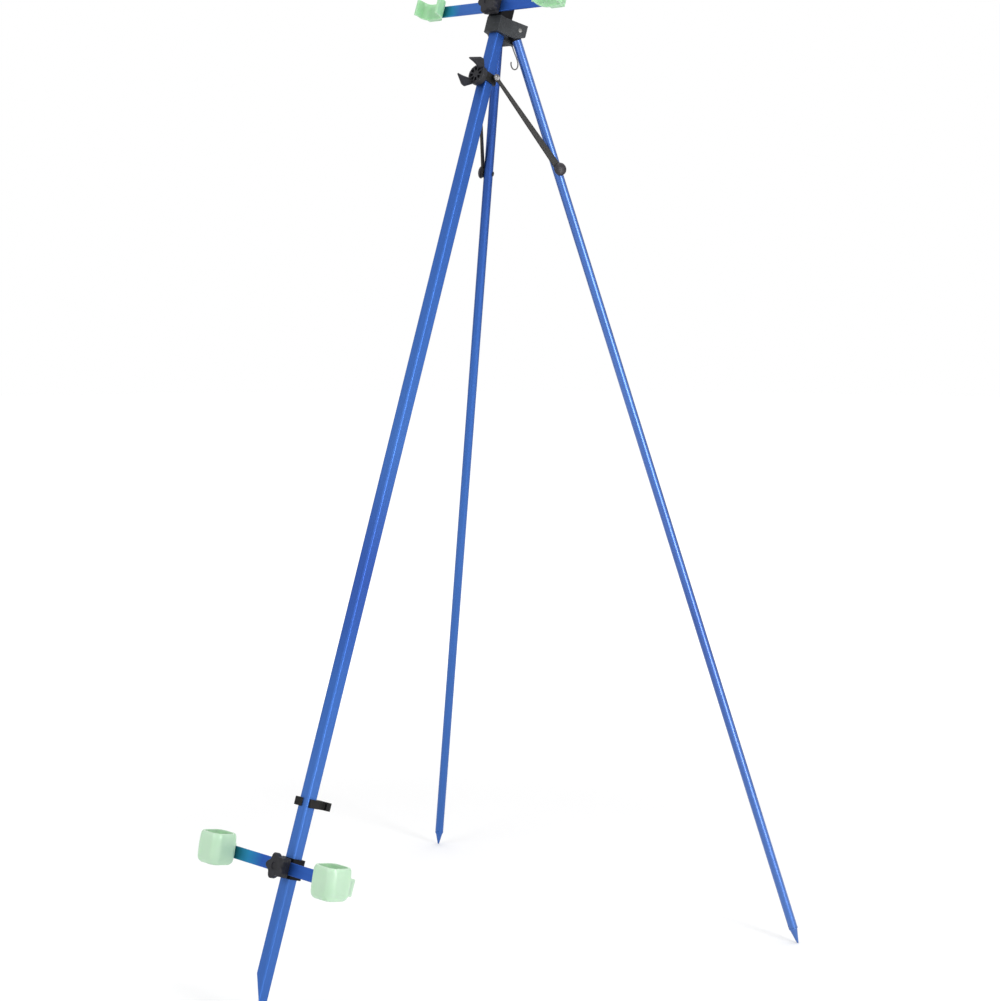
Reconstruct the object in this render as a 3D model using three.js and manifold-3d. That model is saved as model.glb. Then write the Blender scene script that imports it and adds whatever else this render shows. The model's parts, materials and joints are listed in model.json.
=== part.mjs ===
// Surf rod tripod: square front leg, two round rear legs, sliding brace, two swivelling crossbars
import * as THREE from 'three';
import { mergeVertices } from 'three/addons/utils/BufferGeometryUtils.js';
import Module from 'manifold-3d';

const wasm = await Module();
wasm.setup();

// Sizes in millimetres, angles in degrees
const GAP = 0.3;
const OVERRUN = 1;
const WELD_DISTANCE = 0.0003;
const SMALL_ROUND_STEPS = 3;
const ROUND_STEPS = 28;
const FINE_STEPS = 16;

// Stance
const HEAD_HEIGHT = 1563.3;
const HEAD_SET_BACK = 132.241;
const FRONT_LEAN = 20.16;
const LEG_SPREAD = 33.37;
const LEG_AZIMUTH = 27.4;
const LEG_PLANE_SIDE = 16.2;
const LEG_PLANE_BACK = 19.3;

// Front leg, a square tube cut on the bias at its foot
const TUBE_SIDE = 20;
const TUBE_ROUND = 3;
const TUBE_WALL = 1.5;
const TUBE_TOP = 45;
const FOOT_TIP = -1661.75;
const FOOT_CUT_LENGTH = 80;
const FOOT_BLUNT = 1.6;

// Rear legs
const LEG_RADIUS = 8;
const LEG_WALL = 1.2;
const LEG_TUBE_START = -13;
const PIN_OUT = 7.5;
const PIN_HEIGHT = 5.5;
const PIN_OFF_AXIS = 5.2;
const PIN_RADIUS = 2.5;
const PIN_INNER_REACH = 12.5;
const PIN_HEAD_RADIUS = 3.8;
const PIN_HEAD_HEIGHT = 1.6;
const HEAD_EDGE_SHARE = 0.8;
const HEAD_SIDE_SHARE = 0.6;
const EYE_RADIUS = 8;
const PLUG_LENGTH = 18;
const SPIKE_LENGTH = 29;
const SPIKE_TIP_RADIUS = 1.5;
const SPIKE_NECK_RADIUS = 7;
const SPIKE_NECK_LENGTH = 2.5;

// Head
const HEAD_HALF = 16.5;
const HEAD_ROUND = 2.5;
const HEAD_BACK = 14;
const HEAD_LOW = -9.4;
const HEAD_TOP = 18.1;
const ROOF_THICK = 3.4;
const CHEEK_OUTER = 12;
const CHEEK_NEAR = -24;
const CHEEK_FAR = 19.5;
const CHEEK_BEVEL_NEAR = 4;
const CHEEK_BEVEL_RISE = 7.4;
const SLOT_NEAR = -7.2;
const WEB_LOW = -14;
const WEB_FRONT = 12;
const WEB_BACK = 33;
const LUG_HALF = 6;
const LUG_BACK = 46;
const LUG_LOW = -8.5;
const LUG_HIGH = 2;
const LUG_SLOT_HALF = 1.6;
const LUG_SLOT_FRONT = 36.5;

// Hook
const HOOK_PIN_BACK = 41;
const HOOK_PIN_HEIGHT = -4;
const HOOK_PIN_RADIUS = 1.3;
const WIRE_RADIUS = 1.1;
const HOOK_EYE_RADIUS = 2.8;
const HOOK_DROP = 35.5;
const HOOK_BEND_RADIUS = 9;
const HOOK_BOW = 10.5;
const HOOK_TURN = 205;
const HOOK_EYE_START = -60;
const HOOK_EYE_TURN = 300;
const HOOK_EYE_STEPS = 14;
const HOOK_SHANK_STEPS = 8;
const HOOK_BEND_STEPS = 12;
const WIRE_STEPS = 10;
const HOOK_STATIONS = 64;

// Brackets and crossbars, the lower one placed from the tip of the foot
const BRACKET_HALF = 14.7;
const BRACKET_BACK = 13.5;
const BRACKET_HEIGHT = 32;
const LOWER_BAR_ABOVE_FOOT = 244.25;
const LOWER_BAR_HEIGHT = FOOT_TIP + LOWER_BAR_ABOVE_FOOT;
const UPPER_BAR_BELOW_TOP = 11.6;
const UPPER_BAR_HEIGHT = TUBE_TOP - UPPER_BAR_BELOW_TOP;
const LOWER_BRACKET_FRONT = 13;
const UPPER_BRACKET_FRONT = 17;
const CAP_THICK = 3;
const BAR_HEIGHT = 20;
const BAR_THICK = 4;
const BAR_ROUND = 1.2;
const BAR_HALF = 148;
const SADDLE_WIDTH = 28;
const SADDLE_HEIGHT = 31;
const SADDLE_DEPTH = 9;
const SADDLE_ROUND = 3;
const BOLT_RADIUS = 3;
const BOLT_HEAD_RADIUS = 5.5;
const BOLT_HEAD_HEIGHT = 3.2;
const KNOB_RADIUS = 21;
const KNOB_VALLEY = 15.5;
const KNOB_LOBES = 5;
const KNOB_DEPTH = 11;
const KNOB_BEVEL = 1.6;
const KNOB_POINTS_PER_LOBE = 12;
const KNOB_RECESS_RADIUS = 6.5;
const KNOB_RECESS_DEPTH = 1.5;
const KNOB_BORE_DEPTH = 8;
const INSERT_RADIUS = 5.2;
const INSERT_SIDES = 6;

// Butt cups and rod rests
const BAR_END_PAST_HOLDER = 15.5;
const HOLDER_SPACING = BAR_HALF - BAR_END_PAST_HOLDER;
const HOLDER_WALL = 3;
const CUP_SIDE = 49;
const CUP_ROUND = 14;
const CUP_LOW = -23.5;
const CUP_HEIGHT = 50;
const CUP_DRAW_IN = 5;
// Shares of the cup's height, and of how far its side is drawn in at each
const CUP_PROFILE_SHARES = [[0, 1], [0.06, 0.4], [0.2, 0], [0.79, 0], [0.92, 0.12], [1, 0.44]];
const CUP_FLOOR = 4;
const CUP_TILT = 8;
const SLEEVE_INNER_END = -9;
const SLEEVE_OUTER_END = 18;
const SLEEVE_HEIGHT = 27;
const SLEEVE_WALL = 2.4;
const REST_HEIGHT = 28.6;
const REST_DEPTH = 26;
const REST_FRONT_DROP = 1;
const REST_LIP = 2;

// Leg clip
const CLIP_ABOVE_BAR = 111.5;
const CLIP_TOP = LOWER_BAR_HEIGHT + CLIP_ABOVE_BAR;
const CLIP_HEIGHT = 13.5;
const CLIP_FRONT = 12.9;
const CLIP_LEFT = 16.5;
const CLIP_RIGHT = 14;
const CLIP_LIP_END = -0.5;
const CLIP_RIGHT_START = -6.5;
const CLIP_BACK_WALL = 13;
const CLIP_FIN_HALF = 8.4;
const CLIP_TEE_HALF = 14;
const CLIP_TEE_FRONT = 30.4;
const CLIP_TEE_BACK = 40;

// Sliding brace
const CLAMP_HEIGHT = -88;
const CLAMP_TALL = 15;
const CLAMP_HALF = 13.2;
const CLAMP_FRONT = 14.4;
const EAR_OUT = -12.1;
const EAR_HEIGHT = -85.2;
const EAR_RADIUS = 5.6;
const EAR_START = 0;
const EAR_END = LEG_RADIUS;
const STRUT_JOINT_DOWN = 238.6;
const STRUT_NEAR = LEG_RADIUS + GAP;
const STRUT_THICK = 3;
const STRUT_FAR = STRUT_NEAR + STRUT_THICK;
const STRUT_TOP_RADIUS = 4.2;
const STRUT_MID_RADIUS = 3;
const STRUT_LOW_RADIUS = 6.2;
const STRUT_EYE_RADIUS = 9;
const STRUT_NECK = 8.4;
const STRUT_END_HALF_TURN = 120;
const STRUT_END_STEPS = 9;
const STRUT_PIN_RADIUS = 2.4;
const STRUT_PIN_HEAD = 4.4;
const STRUT_PIN_RISE = 1.8;
const STRUT_BOLT_HEAD_RADIUS = 4.6;
const STRUT_BOLT_HEAD_THICK = 2;
const STRUT_BOLT_REACH = 3;
const DOME_RADIUS = 11;
const DOME_RIM = 1;
const DOME_HEIGHT = 5.4;
const DOME_STEPS = 6;

// Wing knob
const WING_HEIGHT = -90;
const HUB_RADIUS = 17;
const HUB_BACK = 14.8;
const HUB_DEPTH = 11.5;
const HUB_BEVEL = 2.5;
const HUB_POCKET_RADIUS = 12.5;
const HUB_POCKET_DEPTH = 4;
const HUB_CORE_RADIUS = 6;
const HUB_RIBS = 8;
const HUB_RIB_THICK = 2.2;
const HUB_RIB_OFFSET_SHARE = 0.5;
const WING_TILT = 57;
const WING_THICK = 5.5;
const WING_REACH = 28;
const WING_RISE = 31;
// Shares of the wing's reach from the hub's axis, and of its rise past the hub's face
const WING_OUTLINE_SHARES = [[0.38, -0.25], [0.55, -0.25], [1, 0.18], [0.98, 0.37], [0.62, 0.98],
  [0.53, 1], [0.5, 0.62], [0.41, 0.15]];
const STEM_RADIUS = 3;
const STEM_INNER = 10.4;

const degrees = THREE.MathUtils.degToRad;
const shapeTurn = (angle) => new THREE.Vector2(Math.cos(angle), Math.sin(angle));

// Solids

function solidOf(geometry) {
  geometry.deleteAttribute('normal');
  geometry.deleteAttribute('uv');
  const merged = mergeVertices(geometry, WELD_DISTANCE);
  return new wasm.Manifold(new wasm.Mesh({
    numProp: 3,
    vertProperties: new Float32Array(merged.attributes.position.array),
    triVerts: new Uint32Array(merged.index.array),
  }));
}

const moved = (solid, matrix) => solid.transform(matrix.elements.slice());
const shifted = (solid, x, y, z) => solid.translate([x, y, z]);
const mirrored = (solid) => solid.mirror([1, 0, 0]);

function prism(points, low, high, holes = []) {
  const shape = new THREE.Shape(points);
  holes.forEach((hole) => shape.holes.push(new THREE.Path(hole)));
  const geometry = new THREE.ExtrudeGeometry(shape, { depth: high - low, bevelEnabled: false });
  geometry.translate(0, 0, low);
  return solidOf(geometry);
}

function roundedRectangle(left, right, front, back, round) {
  const points = [];
  const corners = [[right - round, back - round, 0], [left + round, back - round, 1],
    [left + round, front + round, 2], [right - round, front + round, 3]];
  corners.forEach(([x, y, quarter]) => {
    for (let step = 0; step <= SMALL_ROUND_STEPS; step += 1) {
      const turn = shapeTurn((quarter + step / SMALL_ROUND_STEPS) * Math.PI / 2);
      points.push(new THREE.Vector2(x, y).addScaledVector(turn, round));
    }
  });
  return points;
}

const roundedSquare = (half, round) => roundedRectangle(-half, half, -half, half, round);
const block = (left, right, front, back, low, high) => prism([
  new THREE.Vector2(left, front), new THREE.Vector2(right, front),
  new THREE.Vector2(right, back), new THREE.Vector2(left, back)], low, high);

// A closed stack of outlines with the same number of points, from the lowest to the highest
function stacked(rings) {
  const count = rings[0].points.length;
  const positions = rings.flatMap(({ points, height }) => points.flatMap(({ x, y }) => [x, y, height]));
  const top = (rings.length - 1) * count;
  const faces = [];
  for (let ring = 0; ring < top; ring += count) {
    for (let step = 0; step < count; step += 1) {
      const here = ring + step;
      const next = ring + (step + 1) % count;
      faces.push(here, next, next + count, here, next + count, here + count);
    }
  }
  for (let step = 1; step + 1 < count; step += 1) {
    faces.push(0, step + 1, step, top, top + step, top + step + 1);
  }
  const geometry = new THREE.BufferGeometry();
  geometry.setAttribute('position', new THREE.Float32BufferAttribute(positions, 3));
  geometry.setIndex(faces);
  return solidOf(geometry);
}

function rod(radius, low, high, steps = ROUND_STEPS) {
  const points = [];
  for (let step = 0; step < steps; step += 1) {
    points.push(shapeTurn(2 * Math.PI * step / steps).multiplyScalar(radius));
  }
  return prism(points, low, high);
}

// The cutter for a round hole with clearance about what runs in it
const drill = (radius, low, high) => rod(radius + GAP, low - OVERRUN, high + OVERRUN, FINE_STEPS);

function turned(profile, steps = ROUND_STEPS) {
  const geometry = new THREE.LatheGeometry(profile.map(([r, z]) => new THREE.Vector2(r, z)), steps);
  geometry.rotateX(Math.PI / 2);
  return solidOf(geometry);
}

// Frames: the front leg's own frame has +Z up the tube and -Y to the front

const frontFrame = new THREE.Matrix4().makeTranslation(0, HEAD_SET_BACK, HEAD_HEIGHT)
  .multiply(new THREE.Matrix4().makeRotationX(-degrees(FRONT_LEAN)));
const planeFrame = new THREE.Matrix4().makeTranslation(LEG_PLANE_SIDE, LEG_PLANE_BACK, 0)
  .multiply(new THREE.Matrix4().makeRotationZ(degrees(90 - LEG_AZIMUTH)));
const legFrame = planeFrame.clone()
  .multiply(new THREE.Matrix4().makeTranslation(PIN_OUT, 0, PIN_HEIGHT))
  .multiply(new THREE.Matrix4().makeRotationY(-degrees(LEG_SPREAD)));
const facingFront = new THREE.Matrix4().makeRotationX(Math.PI / 2);
const facingOut = facingFront;

// A solid drawn with +Z forward is turned to stand out of the front leg at the given height
const forward = (solid, height) => shifted(moved(solid, facingFront), 0, 0, height);
// The same for the hinge pins of a rear leg, in that leg's plane
const outward = (solid, out, height) => shifted(moved(solid, facingOut), out, 0, height);

const legWorld = frontFrame.clone().multiply(legFrame);
const legDirection = new THREE.Vector3(0, 0, -1).transformDirection(legWorld);
const axisStart = new THREE.Vector3(-PIN_OFF_AXIS, 0, 0).applyMatrix4(legWorld);
const legSlope = Math.acos(-legDirection.z);
const LEG_LENGTH = (axisStart.z - SPIKE_TIP_RADIUS * Math.sin(legSlope)) / Math.cos(legSlope);

// Materials

const materials = {
  anodised: new THREE.MeshStandardMaterial({ color: 0x2f5fae, metalness: 0.9, roughness: 0.35 }),
  blackPlastic: new THREE.MeshStandardMaterial({ color: 0x232527, metalness: 0, roughness: 0.55 }),
  paleGreen: new THREE.MeshStandardMaterial({ color: 0xbfe0bd, metalness: 0, roughness: 0.45 }),
  steel: new THREE.MeshStandardMaterial({ color: 0xb4b7ba, metalness: 1, roughness: 0.3 }),
};

const group = new THREE.Group();
group.name = 'surf_rod_tripod';

function add(name, material, solid, frame = frontFrame) {
  const { vertProperties, triVerts } = moved(solid, frame).getMesh();
  const geometry = new THREE.BufferGeometry();
  geometry.setAttribute('position', new THREE.BufferAttribute(new Float32Array(vertProperties), 3));
  geometry.setIndex(new THREE.BufferAttribute(new Uint32Array(triVerts), 1));
  geometry.computeVertexNormals();
  const mesh = new THREE.Mesh(geometry, materials[material].clone());
  mesh.name = name;
  group.add(mesh);
}

function addPair(name, material, solid, frame = frontFrame) {
  const placed = moved(solid, frame);
  const asBuilt = new THREE.Matrix4();
  add(`${name}_right`, material, placed, asBuilt);
  add(`${name}_left`, material, mirrored(placed), asBuilt);
}

// Front leg

function frontLeg() {
  const half = TUBE_SIDE / 2;
  const outer = roundedSquare(half, TUBE_ROUND);
  const inner = roundedSquare(half - TUBE_WALL, TUBE_ROUND - TUBE_WALL);
  let tube = prism(outer, FOOT_TIP, TUBE_TOP, [inner]);
  // The bias cut leaves the rear right corner longest
  const reach = half * Math.SQRT2;
  const cutter = prism([
    new THREE.Vector2(reach - FOOT_BLUNT, FOOT_TIP),
    new THREE.Vector2(-reach - OVERRUN, FOOT_TIP + FOOT_CUT_LENGTH * (1 + OVERRUN / (2 * reach))),
    new THREE.Vector2(-reach - OVERRUN, FOOT_TIP - OVERRUN),
    new THREE.Vector2(reach - FOOT_BLUNT, FOOT_TIP - OVERRUN)], -TUBE_SIDE, TUBE_SIDE);
  const placed = moved(moved(cutter, facingFront), new THREE.Matrix4().makeRotationZ(Math.PI / 4));
  tube = tube.subtract(placed);
  [LOWER_BAR_HEIGHT, UPPER_BAR_HEIGHT].forEach((height) => {
    tube = tube.subtract(forward(rod(BOLT_RADIUS + GAP, -TUBE_SIDE, TUBE_SIDE, FINE_STEPS), height));
  });
  return tube;
}

const legBore = (low, high, slack = GAP) => prism(
  roundedSquare(TUBE_SIDE / 2 + slack, TUBE_ROUND + slack), low - OVERRUN, high + OVERRUN);

// Head

function planeBlock(near, far, inner, outer, low, high) {
  return moved(block(near, far, -outer, -inner, low, high), planeFrame);
}

function headBody() {
  const slotHalf = LEG_RADIUS + GAP;
  const roofLow = HEAD_TOP - ROOF_THICK;
  let body = prism(roundedRectangle(-HEAD_HALF, HEAD_HALF, -HEAD_HALF, HEAD_BACK, HEAD_ROUND),
    HEAD_LOW, HEAD_TOP);
  const web = prism([
    new THREE.Vector2(-WEB_BACK, WEB_FRONT), new THREE.Vector2(WEB_BACK, WEB_FRONT),
    new THREE.Vector2(WEB_BACK, WEB_BACK), new THREE.Vector2(-WEB_BACK, WEB_BACK)], WEB_LOW, HEAD_TOP);
  const sideCut = planeBlock(CHEEK_NEAR - TUBE_SIDE, CHEEK_FAR + TUBE_SIDE, -slotHalf, WEB_BACK + TUBE_SIDE,
    WEB_LOW - OVERRUN, HEAD_TOP + OVERRUN);
  body = body.add(web.subtract(sideCut).subtract(mirrored(sideCut)));
  const cheekOutline = [
    new THREE.Vector2(CHEEK_NEAR, HEAD_LOW), new THREE.Vector2(CHEEK_BEVEL_NEAR, HEAD_LOW),
    new THREE.Vector2(CHEEK_FAR, HEAD_LOW + CHEEK_BEVEL_RISE), new THREE.Vector2(CHEEK_FAR, HEAD_TOP),
    new THREE.Vector2(CHEEK_NEAR, HEAD_TOP)];
  const cheek = moved(moved(prism(cheekOutline, slotHalf, CHEEK_OUTER), facingOut), planeFrame);
  const roof = planeBlock(SLOT_NEAR - OVERRUN, CHEEK_FAR, -slotHalf - OVERRUN, slotHalf + OVERRUN,
    roofLow, HEAD_TOP);
  const slot = planeBlock(SLOT_NEAR, CHEEK_FAR + OVERRUN, -slotHalf, slotHalf, WEB_LOW - OVERRUN, roofLow);
  const pinHole = moved(outward(drill(PIN_RADIUS, -PIN_INNER_REACH, CHEEK_OUTER),
    PIN_OUT, PIN_HEIGHT), planeFrame);
  [(solid) => solid, mirrored].forEach((side) => {
    body = body.add(side(cheek)).add(side(roof));
  });
  body = body.add(block(-LUG_HALF, LUG_HALF, WEB_BACK - OVERRUN, LUG_BACK, LUG_LOW, LUG_HIGH));
  [(solid) => solid, mirrored].forEach((side) => {
    body = body.subtract(side(slot)).subtract(side(pinHole));
  });
  const lugSlot = block(-LUG_SLOT_HALF, LUG_SLOT_HALF, LUG_SLOT_FRONT, LUG_BACK + OVERRUN,
    LUG_LOW - OVERRUN, LUG_HIGH + OVERRUN);
  const lugHole = shifted(moved(drill(HOOK_PIN_RADIUS, -LUG_HALF, LUG_HALF),
    new THREE.Matrix4().makeRotationY(Math.PI / 2)), 0, HOOK_PIN_BACK, HOOK_PIN_HEIGHT);
  return body.subtract(legBore(HEAD_LOW, HEAD_TOP)).subtract(lugSlot).subtract(lugHole);
}

function hingePin() {
  const reach = CHEEK_OUTER + GAP;
  return moved(outward(turned([[0, -PIN_INNER_REACH], [PIN_RADIUS, -PIN_INNER_REACH], [PIN_RADIUS, reach],
    [PIN_HEAD_RADIUS, reach], [PIN_HEAD_RADIUS * HEAD_EDGE_SHARE, reach + PIN_HEAD_HEIGHT * HEAD_SIDE_SHARE],
    [0, reach + PIN_HEAD_HEIGHT]], FINE_STEPS), PIN_OUT, PIN_HEIGHT), planeFrame);
}

// Hook

function hookPath() {
  const points = [];
  for (let step = 0; step <= HOOK_EYE_STEPS; step += 1) {
    const angle = degrees(HOOK_EYE_START + HOOK_EYE_TURN * step / HOOK_EYE_STEPS);
    points.push([HOOK_EYE_RADIUS * Math.cos(angle), HOOK_EYE_RADIUS * Math.sin(angle) - GAP]);
  }
  const [startY, startZ] = points[points.length - 1];
  const bendCentre = -HOOK_DROP;
  for (let step = 1; step < HOOK_SHANK_STEPS; step += 1) {
    const share = step / HOOK_SHANK_STEPS;
    points.push([startY + (HOOK_BOW - startY) * THREE.MathUtils.smoothstep(share, 0, 1),
      startZ + (bendCentre - startZ) * share]);
  }
  for (let step = 0; step <= HOOK_BEND_STEPS; step += 1) {
    const angle = -degrees(HOOK_TURN * step / HOOK_BEND_STEPS);
    points.push([HOOK_BOW - HOOK_BEND_RADIUS + HOOK_BEND_RADIUS * Math.cos(angle),
      bendCentre + HOOK_BEND_RADIUS * Math.sin(angle)]);
  }
  return points;
}

function gearHook() {
  const flat = new THREE.CatmullRomCurve3(hookPath().map(([y, z]) => new THREE.Vector3(0, y, z)));
  const samples = flat.getSpacedPoints(HOOK_STATIONS);
  const centre = samples.reduce((sum, point) => sum.add(point), new THREE.Vector3())
    .divideScalar(samples.length);
  // The wire is turned about its pin until it hangs with its weight below the pin
  const swing = new THREE.Matrix4().makeRotationX(-Math.atan2(-centre.y, -centre.z));
  const path = new THREE.CatmullRomCurve3(samples.map((point) => point.applyMatrix4(swing)));
  const section = [];
  for (let step = 0; step < WIRE_STEPS; step += 1) {
    section.push(shapeTurn(2 * Math.PI * step / WIRE_STEPS).multiplyScalar(WIRE_RADIUS));
  }
  const geometry = new THREE.ExtrudeGeometry(new THREE.Shape(section),
    { steps: HOOK_STATIONS, extrudePath: path, bevelEnabled: false });
  const pin = new THREE.Vector3(0, HOOK_PIN_BACK, HOOK_PIN_HEIGHT).applyMatrix4(frontFrame);
  geometry.translate(pin.x, pin.y, pin.z);
  return solidOf(geometry);
}

const hookPin = () => shifted(moved(rod(HOOK_PIN_RADIUS, -LUG_HALF + GAP, LUG_HALF - GAP, FINE_STEPS),
  new THREE.Matrix4().makeRotationY(Math.PI / 2)), 0, HOOK_PIN_BACK, HOOK_PIN_HEIGHT);

// Rear legs, drawn in the leg's frame with the hinge pin at its origin

function legTop() {
  const eye = outward(rod(EYE_RADIUS, -LEG_RADIUS, LEG_RADIUS), 0, 0);
  const shoulder = shifted(rod(LEG_RADIUS, LEG_TUBE_START + GAP, 0), -PIN_OFF_AXIS, 0, 0);
  const plugRadius = LEG_RADIUS - LEG_WALL - GAP;
  const plug = shifted(rod(plugRadius, LEG_TUBE_START - PLUG_LENGTH, 0), -PIN_OFF_AXIS, 0, 0);
  const hole = outward(drill(PIN_RADIUS, -LEG_RADIUS, LEG_RADIUS), 0, 0);
  return eye.add(shoulder).add(plug).subtract(hole);
}

function rearLeg() {
  const ring = rod(LEG_RADIUS, -LEG_LENGTH + SPIKE_LENGTH + GAP, LEG_TUBE_START);
  const bore = rod(LEG_RADIUS - LEG_WALL, -LEG_LENGTH, LEG_TUBE_START + OVERRUN);
  const boltHole = outward(drill(STRUT_PIN_RADIUS, -LEG_RADIUS, LEG_RADIUS),
    0, -STRUT_JOINT_DOWN);
  return shifted(ring.subtract(bore).subtract(boltHole), -PIN_OFF_AXIS, 0, 0);
}

function footSpike() {
  const shoulder = -LEG_LENGTH + SPIKE_LENGTH;
  const plugRadius = LEG_RADIUS - LEG_WALL - GAP;
  return shifted(turned([[0, -LEG_LENGTH], [SPIKE_TIP_RADIUS, -LEG_LENGTH],
    [SPIKE_NECK_RADIUS, shoulder - SPIKE_NECK_LENGTH], [LEG_RADIUS, shoulder - SPIKE_NECK_LENGTH],
    [LEG_RADIUS, shoulder], [plugRadius, shoulder], [plugRadius, shoulder + PLUG_LENGTH],
    [0, shoulder + PLUG_LENGTH]]), -PIN_OFF_AXIS, 0, 0);
}

function strutBolt() {
  const headTop = -LEG_RADIUS - GAP;
  const headLow = headTop - STRUT_BOLT_HEAD_THICK;
  const reach = STRUT_FAR + GAP + STRUT_BOLT_REACH;
  return outward(turned([[0, headLow], [STRUT_BOLT_HEAD_RADIUS, headLow], [STRUT_BOLT_HEAD_RADIUS, headTop],
    [STRUT_PIN_RADIUS, headTop], [STRUT_PIN_RADIUS, reach], [0, reach]], FINE_STEPS),
  -PIN_OFF_AXIS, -STRUT_JOINT_DOWN);
}

// The dome caps the bolt outside the strut
function strutDome() {
  const base = STRUT_FAR + GAP;
  const profile = [[0, base], [DOME_RADIUS, base]];
  for (let step = 0; step < DOME_STEPS; step += 1) {
    const { x, y } = shapeTurn(Math.PI / 2 * step / DOME_STEPS);
    profile.push([DOME_RADIUS * x, base + DOME_RIM + DOME_HEIGHT * y]);
  }
  profile.push([0, base + DOME_RIM + DOME_HEIGHT]);
  const bore = rod(STRUT_PIN_RADIUS + GAP, base - OVERRUN, base + STRUT_BOLT_REACH + GAP, FINE_STEPS);
  return outward(turned(profile).subtract(bore), -PIN_OFF_AXIS, -STRUT_JOINT_DOWN);
}

// Struts, drawn in the leg's plane from the bolt up to the ear of the clamp

const strutLow = new THREE.Vector3(-PIN_OFF_AXIS, 0, -STRUT_JOINT_DOWN).applyMatrix4(
  new THREE.Matrix4().makeTranslation(PIN_OUT, 0, PIN_HEIGHT)
    .multiply(new THREE.Matrix4().makeRotationY(-degrees(LEG_SPREAD))));
const strutHigh = new THREE.Vector3(EAR_OUT, 0, EAR_HEIGHT);

function strutEnd(centre, radius, middleAngle) {
  const points = [];
  for (let step = 0; step <= STRUT_END_STEPS; step += 1) {
    const angle = degrees(middleAngle + STRUT_END_HALF_TURN * (2 * step / STRUT_END_STEPS - 1));
    points.push(shapeTurn(angle).multiplyScalar(radius).add(new THREE.Vector2(centre, 0)));
  }
  return points;
}

function strut() {
  const along = strutHigh.clone().sub(strutLow);
  const length = along.length();
  const outline = [
    ...strutEnd(0, STRUT_EYE_RADIUS, 180),
    new THREE.Vector2(STRUT_EYE_RADIUS, -STRUT_LOW_RADIUS),
    new THREE.Vector2(length - STRUT_NECK, -STRUT_MID_RADIUS),
    ...strutEnd(length, STRUT_TOP_RADIUS, 0),
    new THREE.Vector2(length - STRUT_NECK, STRUT_MID_RADIUS),
    new THREE.Vector2(STRUT_EYE_RADIUS, STRUT_LOW_RADIUS)];
  const boltHole = drill(STRUT_PIN_RADIUS, STRUT_NEAR, STRUT_FAR);
  const bar = prism(outline, STRUT_NEAR, STRUT_FAR).subtract(boltHole)
    .subtract(shifted(boltHole, length, 0, 0));
  const turn = new THREE.Matrix4().makeRotationY(-Math.atan2(along.z, along.x));
  return shifted(moved(moved(bar, facingOut), turn), strutLow.x, 0, strutLow.z);
}

function strutPin() {
  const base = STRUT_FAR + GAP;
  const top = base + STRUT_PIN_RISE;
  return outward(turned([[0, STRUT_NEAR], [STRUT_PIN_RADIUS, STRUT_NEAR], [STRUT_PIN_RADIUS, base],
    [STRUT_PIN_HEAD, base], [STRUT_PIN_HEAD * HEAD_EDGE_SHARE, top], [0, top]], FINE_STEPS),
  strutHigh.x, strutHigh.z);
}

// Sliding clamp

function braceClamp() {
  const low = CLAMP_HEIGHT - CLAMP_TALL / 2;
  const high = low + CLAMP_TALL;
  const outline = roundedRectangle(-CLAMP_HALF, CLAMP_HALF, -CLAMP_FRONT, CLAMP_HALF, HEAD_ROUND);
  const earRod = rod(EAR_RADIUS, EAR_START, EAR_END, FINE_STEPS);
  const ear = moved(outward(earRod, EAR_OUT, EAR_HEIGHT), planeFrame);
  let body = prism(outline, low, high);
  body = body.add(ear).add(mirrored(ear)).subtract(legBore(low, high));
  return body.subtract(forward(rod(STEM_RADIUS + GAP, 0, CLAMP_FRONT + OVERRUN, FINE_STEPS), WING_HEIGHT));
}

function wingKnob() {
  const front = HUB_BACK + HUB_DEPTH;
  let hub = turned([[0, HUB_BACK], [HUB_RADIUS - HUB_BEVEL, HUB_BACK], [HUB_RADIUS, HUB_BACK + HUB_BEVEL],
    [HUB_RADIUS, front - HUB_BEVEL], [HUB_RADIUS - HUB_BEVEL, front], [HUB_POCKET_RADIUS, front],
    [HUB_POCKET_RADIUS, front - HUB_POCKET_DEPTH], [0, front - HUB_POCKET_DEPTH]]);
  hub = hub.add(rod(HUB_CORE_RADIUS, front - HUB_POCKET_DEPTH - OVERRUN, front, FINE_STEPS));
  for (let rib = 0; rib < HUB_RIBS; rib += 1) {
    const bar = block(0, HUB_POCKET_RADIUS + OVERRUN, -HUB_RIB_THICK / 2, HUB_RIB_THICK / 2,
      front - HUB_POCKET_DEPTH - OVERRUN, front);
    const angle = 2 * Math.PI * (rib + HUB_RIB_OFFSET_SHARE) / HUB_RIBS;
    hub = hub.add(moved(bar, new THREE.Matrix4().makeRotationZ(angle)));
  }
  const outline = WING_OUTLINE_SHARES.map(([out, rise]) => (
    new THREE.Vector2(out * WING_REACH, front + rise * WING_RISE)));
  const wing = moved(prism(outline, -WING_THICK / 2, WING_THICK / 2), facingFront);
  const tilt = new THREE.Matrix4().makeRotationZ(degrees(WING_TILT));
  const half = new THREE.Matrix4().makeRotationZ(Math.PI);
  hub = hub.add(moved(wing, tilt)).add(moved(moved(wing, half), tilt));
  const bore = rod(STEM_RADIUS + GAP, HUB_BACK - OVERRUN, HUB_BACK + KNOB_BORE_DEPTH, FINE_STEPS);
  return forward(hub.subtract(bore), WING_HEIGHT);
}

const wingStem = () => forward(rod(STEM_RADIUS, STEM_INNER, HUB_BACK + KNOB_BORE_DEPTH - GAP, FINE_STEPS),
  WING_HEIGHT);

// Brackets, crossbars and star knobs

function bracket(height, front, low, high) {
  const outline = roundedRectangle(-BRACKET_HALF, BRACKET_HALF, -front, BRACKET_BACK, HEAD_ROUND);
  return prism(outline, low, high).subtract(forward(drill(BOLT_RADIUS, -BRACKET_BACK, front), height));
}

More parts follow.
